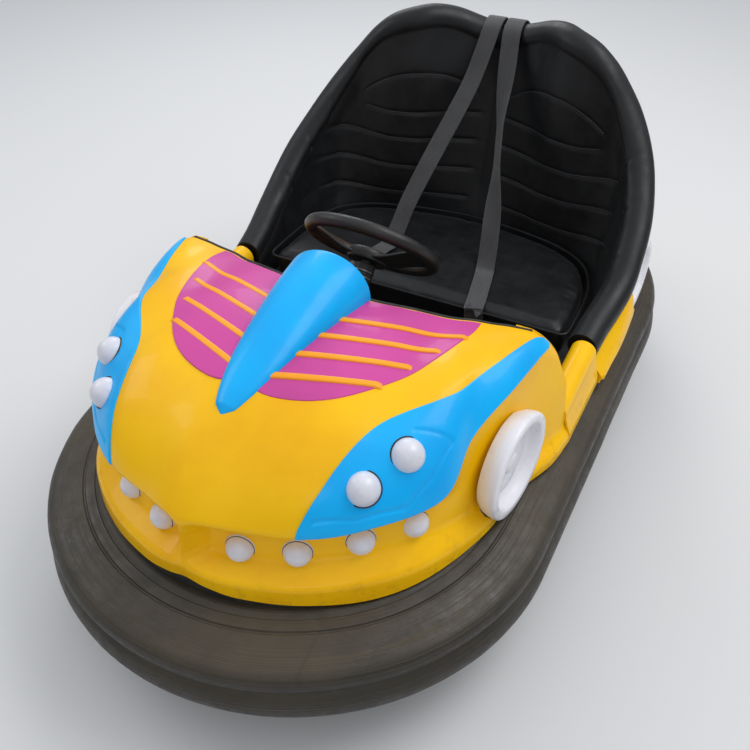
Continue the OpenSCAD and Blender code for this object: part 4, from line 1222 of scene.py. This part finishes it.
class CARLOOKS_OT_seat_tub(bpy.types.Operator):
    """Padded seat tub: a fat roll, two lobes, sewn channels and their stitches"""
    bl_idname = "carlooks.seat_tub"
    bl_label = "Seat tub"

    def execute(self, context):
        sizes = context.scene.car_sizes
        lobe, channel = sizes.lobe_depth * 1000, sizes.channel_depth * 1000
        count = 308
        rings = [tub_section(mix(-SEAT_END, SEAT_END, i / count), lobe, channel)
                 for i in range(count + 1)]
        m = len(rings[0])
        bm = grid(count, m, lambda s, t: rings[round(s * count)][round(t * m) % m])
        weld(bm)
        capped(bm, m + 4)
        tub = piece("seat_tub_padded", bm, FINISHES["vinyl"], stands_for=["seat_tub"],
                    crease=60)
        # lock stitches about 6 mm long along each channel
        runs = []
        for side in (1, -1):
            for k in range(len(SEAMS)):
                runs.append((side, lambda x, k=k: seam_height(k, x), 30, 335 if k == 0 else 404,
                             lambda p, k=k: seam_share(k, p) > 0.4))
            runs.append((side, arch_height, 48, 334, lambda p: True))
        stitches = empty()
        for side, height, first, last, kept in runs:
            line, u = [], 0.2
            while u < 10.6:
                q = place_at(u, height(abs(across(ROLL, u).x) * 0.9), lobe, channel)
                q = place_at(u, height(abs(q.x)), lobe, channel)
                if first <= q.x <= last and kept(q):
                    line.append((q, out_of(ROLL, u)))
                u += 0.05
            travelled, due = 0.0, 0.0
            for (a, o), (b, _) in zip(line, line[1:]):
                step = (b - a).length
                while due <= travelled + step and step > 0:
                    at = mix(a, b, (due - travelled) / step) - o * 0.5
                    way = unit(b - a)
                    made = bmesh.ops.create_cube(stitches, size=1)["verts"]
                    turn = Matrix((way, o.cross(way), o)).transposed().to_4x4()
                    m4 = Matrix.Translation(at) @ turn @ Matrix.Diagonal((5.6, 1.3, 1.1, 1))
                    bmesh.ops.transform(stitches, matrix=m4, verts=made)
                    if side < 0:
                        bmesh.ops.scale(stitches, vec=(-1, 1, 1), verts=made)
                    due += 8.2
                travelled += step
        piece("channel_stitches", outwards(stitches), FINISHES["thread"], crease=20)
        return {"FINISHED"}


def cushion_outline(inset):
    """The seat cushion's plan, inside the tub's foot, as a closed run of points."""
    points = []
    for i in range(141):
        u = mix(-13.78, 13.78, i / 140)
        p = across(FOOT, u) - out_of(FOOT, u) * (2 + inset)
        if p.y > CUSHION_FRONT + inset + 18:
            points.append(Vector((p.x, p.y)))
    right, left = points[0], points[-1]
    y = CUSHION_FRONT + inset
    corner_left = [bezier(left, Vector((left.x, y)), Vector((left.x - 24, y)), i / 8) for i in range(1, 9)]
    front = [Vector((mix(left.x - 24, right.x + 24, i / 40), y)) for i in range(1, 40)]
    corner_right = [bezier(Vector((right.x + 24, y)), Vector((right.x, y)), right, i / 8)
                    for i in range(0, 8)]
    return points + corner_left + front + corner_right


class CARLOOKS_OT_cushion(bpy.types.Operator):
    """Foam seat cushion under one leathercloth cover, swelled by cloth simulation"""
    bl_idname = "carlooks.cushion"
    bl_label = "Seat cushion"

    def execute(self, context):
        cap = context.scene.car_sizes.cushion_cap
        bm = empty()
        outline = cushion_outline(8)
        face = bm.faces.new([bm.verts.new((p.x, p.y, BASE_Z + 2)) for p in outline])
        made = bmesh.ops.extrude_face_region(bm, geom=[face])["geom"]
        top = [v for v in made if isinstance(v, bmesh.types.BMVert)]
        bmesh.ops.translate(bm, vec=(0, 0, CUSHION_TOP - 9 - BASE_Z), verts=top)
        rim = [e for e in bm.edges if e.verts[0].co.z > 350 and e.verts[1].co.z > 350
               and e.calc_face_angle(0) > 1]
        rounded(bm, rim, 15, 4)
        bmesh.ops.triangulate(bm, faces=bm.faces)
        outwards(bm)
        pad = piece("seat_cushion_cover", bm, FINISHES["vinyl"],
                    stands_for=["seat_cushion"], crease=70)
        remesh = pad.modifiers.new("Even faces", "REMESH")
        remesh.mode = "VOXEL"
        remesh.voxel_size = 0.008
        apply_modifiers(pad)
        swell(pad, pressure=4.0, cap=cap)
        shape_cushion(pad)
        smooth_over(pad)
        welt = [Vector((p.x, p.y, CUSHION_TOP - 7)) for p in cushion_outline(5)]
        piece("cushion_welt", tube(welt, 3.2, 8, closed=True), FINISHES["vinyl"])
        return {"FINISHED"}


def apply_modifiers(obj):
    """Replaces an object's mesh by what its modifiers make of it."""
    graph = bpy.context.evaluated_depsgraph_get()
    mesh = bpy.data.meshes.new_from_object(obj.evaluated_get(graph))
    obj.modifiers.clear()
    old = obj.data
    materials = list(old.materials)
    obj.data = mesh
    mesh.name = old.name
    bpy.data.meshes.remove(old)
    if not mesh.materials:
        for m in materials:
            mesh.materials.append(m)
    mesh.shade_smooth()


def swell(obj, pressure, cap):
    """Cloth simulation of a filled cover, in which no point moves further than the cap."""
    scene = bpy.context.scene
    before = [v.co.copy() for v in obj.data.vertices]
    cloth = obj.modifiers.new("Filled cover", "CLOTH")
    cloth.settings.use_pressure = True
    cloth.settings.uniform_pressure_force = pressure
    cloth.settings.effector_weights.gravity = 0
    cloth.settings.tension_stiffness = 15
    cloth.settings.quality = 4
    cloth.point_cache.frame_start, cloth.point_cache.frame_end = 1, 20
    for f in range(1, 21):
        scene.frame_set(f)
    apply_modifiers(obj)
    scene.frame_set(1)
    for v, old in zip(obj.data.vertices, before):
        step = v.co - old
        if step.length > cap:
            v.co = old + step * (cap / step.length)


def shape_cushion(obj):
    """Keeps the swelled cover on its base and under the belts, and dips it where riders sit."""
    for v in obj.data.vertices:
        x, y, z = v.co * 1000
        seat = math.exp(-((abs(x) - 205) / 120) ** 2 - ((y - 240) / 95) ** 2)
        part = ease((z - 355) / 30)
        dip = 9 * seat + 3 * math.exp(-(x / 12) ** 2)
        z = min(max(z, BASE_Z + 0.4), CUSHION_TOP + 0.4) - dip * part
        v.co = Vector((x, y, z)) / 1000


def smooth_over(obj):
    """One even subdivision of a soft form."""
    sub = obj.modifiers.new("Smooth cover", "SUBSURF")
    sub.levels = sub.render_levels = 1


class CARLOOKS_OT_belts(bpy.types.Operator):
    """Two webbing belts, the plate behind the notch and its bolts"""
    bl_idname = "carlooks.belts"
    bl_label = "Belts"

    def execute(self, context):
        most = context.scene.car_sizes.belt_twist

        def belt(side, twist):
            def place(s, t):
                p = through(BELT, s)
                way = unit(through(BELT, s + 0.004) - through(BELT, s - 0.004))
                up = unit(way.cross(Vector((1, 0, 0))))
                wide = up.cross(way)
                turn = twist * ease((s - 0.36) / 0.10) * ease((0.62 - s) / 0.12)
                wide, up = (wide * math.cos(turn) + up * math.sin(turn),
                            up * math.cos(turn) - wide * math.sin(turn))
                a = 2 * math.pi * t
                x = BELT_W / 2 * squared(math.cos(a), 0.35)
                y = BELT_T / 2 * squared(math.sin(a), 0.6)
                loose = 1.6 * noise.noise(Vector((s * 9, side * 3.0, x * 0.02)))
                free = ease((s - 0.34) / 0.05) * ease((0.66 - s) / 0.05)
                return p + wide * x + up * (y + BELT_T / 2 + loose * free)
            bm = weld(grid(260, 24, place))
            return mirrored(capped(bm, 30), side)
        piece("belt_webbing_left", belt(1, most), FINISHES["webbing"],
              stands_for=["belt_left"], crease=60)
        piece("belt_webbing_right", belt(-1, most * 0.15), FINISHES["webbing"],
              stands_for=["belt_right"], crease=60)
        plate = [box((144, 4, 24), (0, 750, 746), 1.4, 3)]
        for x, y in ((-64, 737.8), (0, 742), (64, 737.8)):
            shank = turned([(0, 0), (5, 0), (5, 752.5 - y), (9, 752.5 - y), (9, 754 - y), (0, 754 - y)], 24)
            head = turned([(0, 753 - y), (7.2, 753 - y), (7.2, 757.5 - y), (6.2, 758.5 - y),
                           (0, 758.5 - y)], 6)
            for part in (shank, head):
                plate.append(moved(part, Matrix.Translation((x, y, 746)) @ Matrix.Rotation(
                    -math.pi / 2, 4, "X")))
        piece("belt_plate_bolted", joined(plate), FINISHES["zinc"],
              stands_for=["belt_anchor"])
        return {"FINISHED"}


class CARLOOKS_OT_steering(bpy.types.Operator):
    """Steering wheel with two broad spokes, its hub cover, and the column with steel collars"""
    bl_idname = "carlooks.steering"
    bl_label = "Steering"

    def execute(self, context):
        def rim(s, t):
            a, b = 2 * math.pi * s, 2 * math.pi * t
            grip = 0.7 * max(0.0, -math.cos(b)) * (0.5 + 0.5 * math.cos(28 * a))
            r = RIM_R - grip
            return Vector(((WHEEL_R + r * math.cos(b)) * math.cos(a),
                           (WHEEL_R + r * math.cos(b)) * math.sin(a), r * math.sin(b)))
        parts = [weld(grid(168, 20, rim))]
        parts.append(turned([(0, -40), (44, -40), (46, -38), (46, -20), (43, -15), (37, -13), (30, -12.2),
                             (28, -13.5), (25, -13.5), (23, -11), (12, -9.6), (0, -9.4)], 72))
        for side in (1, -1):
            def spoke(s, t):
                x = mix(22, WHEEL_R - 2, s)
                half = mix(39, 57, s ** 1.4)
                a = 2 * math.pi * t
                y = half * squared(math.cos(a), 0.45)
                z = 5.5 * squared(math.sin(a), 0.6)
                drop = mix(-30, -1, ease(s * 1.05)) - 2.5 * math.cos(math.pi * y / (2 * half)) * 0.5
                return Vector((side * y, side * x, z + drop))
            bm = weld(grid(28, 40, spoke))
            parts.append(moved(capped(bm, 44), Matrix.Rotation(math.pi / 2, 4, "Z")))
        for part in parts:
            outwards(part)
        piece("steering_wheel_moulded", moved(joined(parts), COLUMN), FINISHES["grip"],
              "steering", ["steering_wheel"], 50)
        top = COLUMN_LEN - HUB_DROP - 11
        tube_profile = [(12.6, 30), (23, 30), (24, 31), (24, top - 66)]
        for i in range(4):
            at = top - 62 + i * 14
            tube_profile += [(24, at), (22.4, at + 1), (22.4, at + 4), (24, at + 5)]
        tube_profile += [(24, top - 2), (22.5, top), (12.6, top), (12.6, 30)]
        down = COLUMN @ Matrix.Translation((0, 0, -COLUMN_LEN))
        piece("column_sleeve", moved(turned(tube_profile, 56), down), FINISHES["abs_black"],
              stands_for=["column_tube"])
        collars = [moved(turned([(22.6, at + 1.2), (25, at + 1.2), (25.4, at + 2), (25.4, at + 3),
                                 (25, at + 3.8), (22.6, at + 3.8), (22.6, at + 1.2)], 56), down)
                   for at in (top - 62, top - 48, top - 34, top - 20)]
        piece("column_collars", joined(collars), FINISHES["zinc"])
        piece("steering_spindle", moved(turned([(0, 0.4), (11, 0.4), (12, 1.5), (12, COLUMN_LEN - 23),
                                                (11, COLUMN_LEN - 21.2), (0, COLUMN_LEN - 21.2)], 40), down),
              FINISHES["zinc"], "steering", ["steering_shaft"])
        return {"FINISHED"}


class CARLOOKS_OT_wheels(bpy.types.Operator):
    """Driven tyre with its tread, two rear wheels and their hubs"""
    bl_idname = "carlooks.wheels"
    bl_label = "Wheels"

    def execute(self, context):
        blocks = context.scene.car_sizes.tread_blocks

        def tyre(at, r, width, inner, count, slots):
            """A solid tyre whose tread is cut by a middle groove and by slots from both edges."""
            h = width / 2
            prof = [(inner, -h + 1), (inner + 3, -h), (r - 9, -h), (r - 3, -h + 2), (r - 0.8, -h + 5),
                    (r, -h + 9), (r, -h * 0.3), (r, -3.2), (r - 4, -2.4), (r - 4, 2.4), (r, 3.2),
                    (r, h * 0.3), (r, h - 9), (r - 0.8, h - 5), (r - 3, h - 2), (r - 9, h),
                    (inner + 3, h), (inner, h - 1)]
            m, n = len(prof), count * 8

            def place(s, t):
                i, k = round(s * n) % n, round(t * m) % m
                rad, w = prof[k]
                if slots and abs(w) > h * 0.28 and rad > r - 4 and i % 8 in (0, 1):
                    rad -= 4
                a = 2 * math.pi * i / n
                return Vector((w, rad * math.cos(a), rad * math.sin(a))) + Vector(at)
            return outwards(weld(grid(n, m, place)))

        def hub(at, r, width, bore, bolts):
            """A dished hub with a ring of bolts on both faces."""
            h = width / 2
            face = [(r, -h + 1), (r - 1, -h), (r - 7, -h), (r - 9, -h + 2), (r - 12, -h + 10),
                    (bore + 20, -h + 12), (bore + 14, -h + 8), (bore + 8, -h + 1.5), (bore, -h + 1.5)]
            ring = face + [(a, -b) for a, b in reversed(face)] + [face[0]]
            parts = [turned(ring, 64)]
            for end in (-1, 1):
                for i in range(bolts):
                    a = 2 * math.pi * i / bolts
                    head = turned([(0, 0), (5, 0), (5, 4), (4.2, 5), (0, 5)], 6)
                    spot = Vector(((r * 0.5) * math.cos(a), (r * 0.5) * math.sin(a), (h - 12.4)))
                    moved(head, Matrix.Translation(spot))
                    if end < 0:
                        moved(head, Matrix.Rotation(math.pi, 4, "X"))
                    parts.append(head)
            return moved(joined(parts), Matrix.Translation(at) @ Matrix.Rotation(math.pi / 2, 4, "Y"))
        drive = (0, -480, 120)
        piece("drive_tyre_treaded", tyre(drive, 120, 80, 94, blocks, True), FINISHES["tyre"],
              "front_wheel", ["front_tyre"], 30)
        front = joined([hub(drive, 94, 80, 11, 6), moved(turned([(0, -57), (11, -57), (12, -56), (12, 56),
                        (11, 57), (0, 57)], 40), Matrix.Translation(drive) @ Matrix.Rotation(
                            math.pi / 2, 4, "Y"))])
        piece("drive_hub_bolted", front, FINISHES["cast"], "front_wheel", ["front_hub"])
        for side, name in SIDES:
            at = (side * 300, 540, 70)
            piece(f"tail_tyre_{name}", tyre(at, 70, 45, 52, 20, False), FINISHES["tyre"],
                  f"rear_wheel_{name}", [f"rear_tyre_{name}"], 30)
            piece(f"tail_hub_{name}", hub(at, 52, 45, 12.3, 5), FINISHES["zinc"],
                  f"rear_wheel_{name}", [f"rear_hub_{name}"])
        return {"FINISHED"}


class CARLOOKS_OT_chassis(bpy.types.Operator):
    """Chassis, drive and foot well: the solids' own shapes with rounded edges"""
    bl_idname = "carlooks.chassis"
    bl_label = "Chassis and drive"

    def execute(self, context):
        plain = [
            ("ring_band", "ring_hoop", "zinc", "zinc_steel", CHASSIS, 1.0),
            ("floor_pan", "floor_pan_pressed", "chassis", "chassis_paint", CHASSIS, 1.0),
            ("chassis_rails", "rails_welded", "chassis", "chassis_paint", CHASSIS, 2.0),
            ("seat_base", "seat_base_moulded", "abs_black", "wheel_black", CHASSIS, 1.5),
            ("floor_mat", "floor_mat_ribbed", "mat", "seal_rubber", CHASSIS, 1.0),
            ("drive_housing", "drive_housing_turned", "chassis", "chassis_paint", CHASSIS, 1.5),
            ("gear_box", "gear_box_cast", "cast", "drive_grey", CHASSIS, 4.0),
            ("rear_axle", "rear_axle_plated", "zinc", "zinc_steel", CHASSIS, 1.2),
            ("pickup_brushes", "pickup_brushes_worn", "brass", "brush_copper", CHASSIS, 1.5),
            ("pedal", "pedal_moulded", "abs_black", "wheel_black", CHASSIS, 1.5),
            ("drive_yoke", "drive_yoke_welded", "zinc", "zinc_steel", "drive_head", 1.5),
        ]
        for node, name, finish, slot, body, bevel in plain:
            from_node(node, name, FINISHES[finish], body, bevel)
        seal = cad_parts["hem_seal"]
        seal.data.materials.clear()
        seal.data.materials.append(FINISHES["seal"])
        return {"FINISHED"}


class CARLOOKS_OT_stage(bpy.types.Operator):
    """Pale floor, soft lights and the camera at the photograph's angle"""
    bl_idname = "carlooks.stage"
    bl_label = "Stage"

    def execute(self, context):
        scene = context.scene
        bm = bmesh.new()
        bmesh.ops.create_grid(bm, x_segments=1, y_segments=1, size=14)
        mesh = bpy.data.meshes.new("studio_floor")
        bm.to_mesh(mesh)
        bm.free()
        floor = bpy.data.objects.new("studio_floor", mesh)
        scene.collection.objects.link(floor)
        m = bpy.data.materials.new("Studio_floor_matt")
        m.use_nodes = True
        shade = m.node_tree.nodes["Principled BSDF"]
        shade.inputs["Base Color"].default_value = rgba(linear("#D9D9DA"))
        shade.inputs["Roughness"].default_value = 0.7
        mesh.materials.append(m)

        world = bpy.data.worlds.new("Studio_world")
        world.use_nodes = True
        scene.world = world
        tree = world.node_tree
        tree.nodes.clear()
        path = add(tree, "ShaderNodeLightPath")
        seen = add(tree, "ShaderNodeMath", {0: path.outputs["Is Camera Ray"],
                                            1: path.outputs["Is Transmission Ray"]}, operation="MAXIMUM")
        way = add(tree, "ShaderNodeTexCoord").outputs["Generated"]
        height = add(tree, "ShaderNodeSeparateXYZ", {"Vector": way}).outputs["Z"]
        sky = remap(tree, height, -0.1, 0.9, 0.12, 0.88)
        lit = add(tree, "ShaderNodeBackground", {"Color": (0.93, 0.96, 1.0, 1), "Strength": sky})
        pale = add(tree, "ShaderNodeBackground", {"Color": rgba(linear("#E6E6E7")), "Strength": 1.0})
        both = add(tree, "ShaderNodeMixShader", {0: seen.outputs[0], 1: lit.outputs[0],
                                                 2: pale.outputs[0]})
        add(tree, "ShaderNodeOutputWorld", {"Surface": both.outputs[0]})

        def soft_light(name, at, aim, width, height, power, colour=(1, 1, 1)):
            lamp = bpy.data.lights.new(name, "AREA")
            lamp.shape, lamp.size, lamp.size_y = "RECTANGLE", width, height
            lamp.energy, lamp.color = power, colour
            obj = bpy.data.objects.new(name, lamp)
            way = Vector(aim) - Vector(at)
            obj.matrix_world = Matrix.Translation(at) @ way.to_track_quat("-Z", "Y").to_matrix().to_4x4()
            scene.collection.objects.link(obj)
        soft_light("key_softbox", (1.9, 0.9, 3.6), (0, -0.2, 0.4), 2.6, 2.0, 62)
        soft_light("front_softbox", (1.6, -3.2, 2.2), (0, -0.3, 0.4), 1.8, 1.0, 8)
        soft_light("left_softbox", (-2.8, -0.6, 2.4), (0, -0.2, 0.4), 1.6, 1.2, 14)
        soft_light("tail_softbox", (-1.8, 2.8, 2.6), (0, 0, 0.5), 1.8, 1.2, 26, (0.96, 0.98, 1.0))

        azimuth, pitch, roll = math.radians(27.54), math.radians(40.07), math.radians(-0.85)
        back = Vector((math.sin(azimuth) * math.cos(pitch), -math.cos(azimuth) * math.cos(pitch),
                       math.sin(pitch)))
        right = (-back).cross(Vector((0, 0, 1))).normalized()
        up = right.cross(-back)
        x = right * math.cos(roll) + up * math.sin(roll)
        y = up * math.cos(roll) - right * math.sin(roll)
        camera = bpy.data.objects.new("photo_camera", bpy.data.cameras.new("photo_camera"))
        camera.data.lens, camera.data.sensor_width = 41.975, 36
        turn = Matrix((x, y, back)).transposed().to_4x4()
        camera.matrix_world = Matrix.Translation((0.76942, -1.56419, 1.65488)) @ turn
        scene.collection.objects.link(camera)
        scene.camera = camera
        scene.view_settings.view_transform = "Standard"
        return {"FINISHED"}


STEPS = (CARLOOKS_OT_finishes, CARLOOKS_OT_ring, CARLOOKS_OT_front_body, CARLOOKS_OT_pods,
         CARLOOKS_OT_louvres, CARLOOKS_OT_nose_cone, CARLOOKS_OT_lamps, CARLOOKS_OT_discs,
         CARLOOKS_OT_rear_body, CARLOOKS_OT_seat_tub, CARLOOKS_OT_cushion, CARLOOKS_OT_belts,
         CARLOOKS_OT_steering, CARLOOKS_OT_wheels, CARLOOKS_OT_chassis, CARLOOKS_OT_stage)


class CARLOOKS_PT_sidebar(bpy.types.Panel):
    """Colours, sizes and steps of the bumper car"""
    bl_idname = "CARLOOKS_PT_sidebar"
    bl_label = "Bumper car"
    bl_space_type = "VIEW_3D"
    bl_region_type = "UI"
    bl_category = "Bumper car"

    def draw(self, context):
        layout = self.layout
        for group in (context.scene.car_colours, context.scene.car_sizes):
            part = layout.box()
            for key in group.bl_rna.properties.keys():
                if key not in ("rna_type", "name"):
                    part.prop(group, key)
        steps = layout.column(align=True)
        for step in STEPS:
            steps.operator(step.bl_idname)


CLASSES = (CarColours, CarSizes, *STEPS, CARLOOKS_PT_sidebar)


def register():
    for cls in CLASSES:
        bpy.utils.register_class(cls)
    bpy.types.Scene.car_colours = PointerProperty(type=CarColours)
    bpy.types.Scene.car_sizes = PointerProperty(type=CarSizes)


def unregister():
    del bpy.types.Scene.car_sizes
    del bpy.types.Scene.car_colours
    for cls in reversed(CLASSES):
        bpy.utils.unregister_class(cls)


def main():
    register()
    for step in STEPS:
        group, name = step.bl_idname.split(".")
        if getattr(getattr(bpy.ops, group), name)() != {"FINISHED"}:
            raise RuntimeError(f"{step.bl_label} didn't finish")


if __name__ == "__main__":
    main()
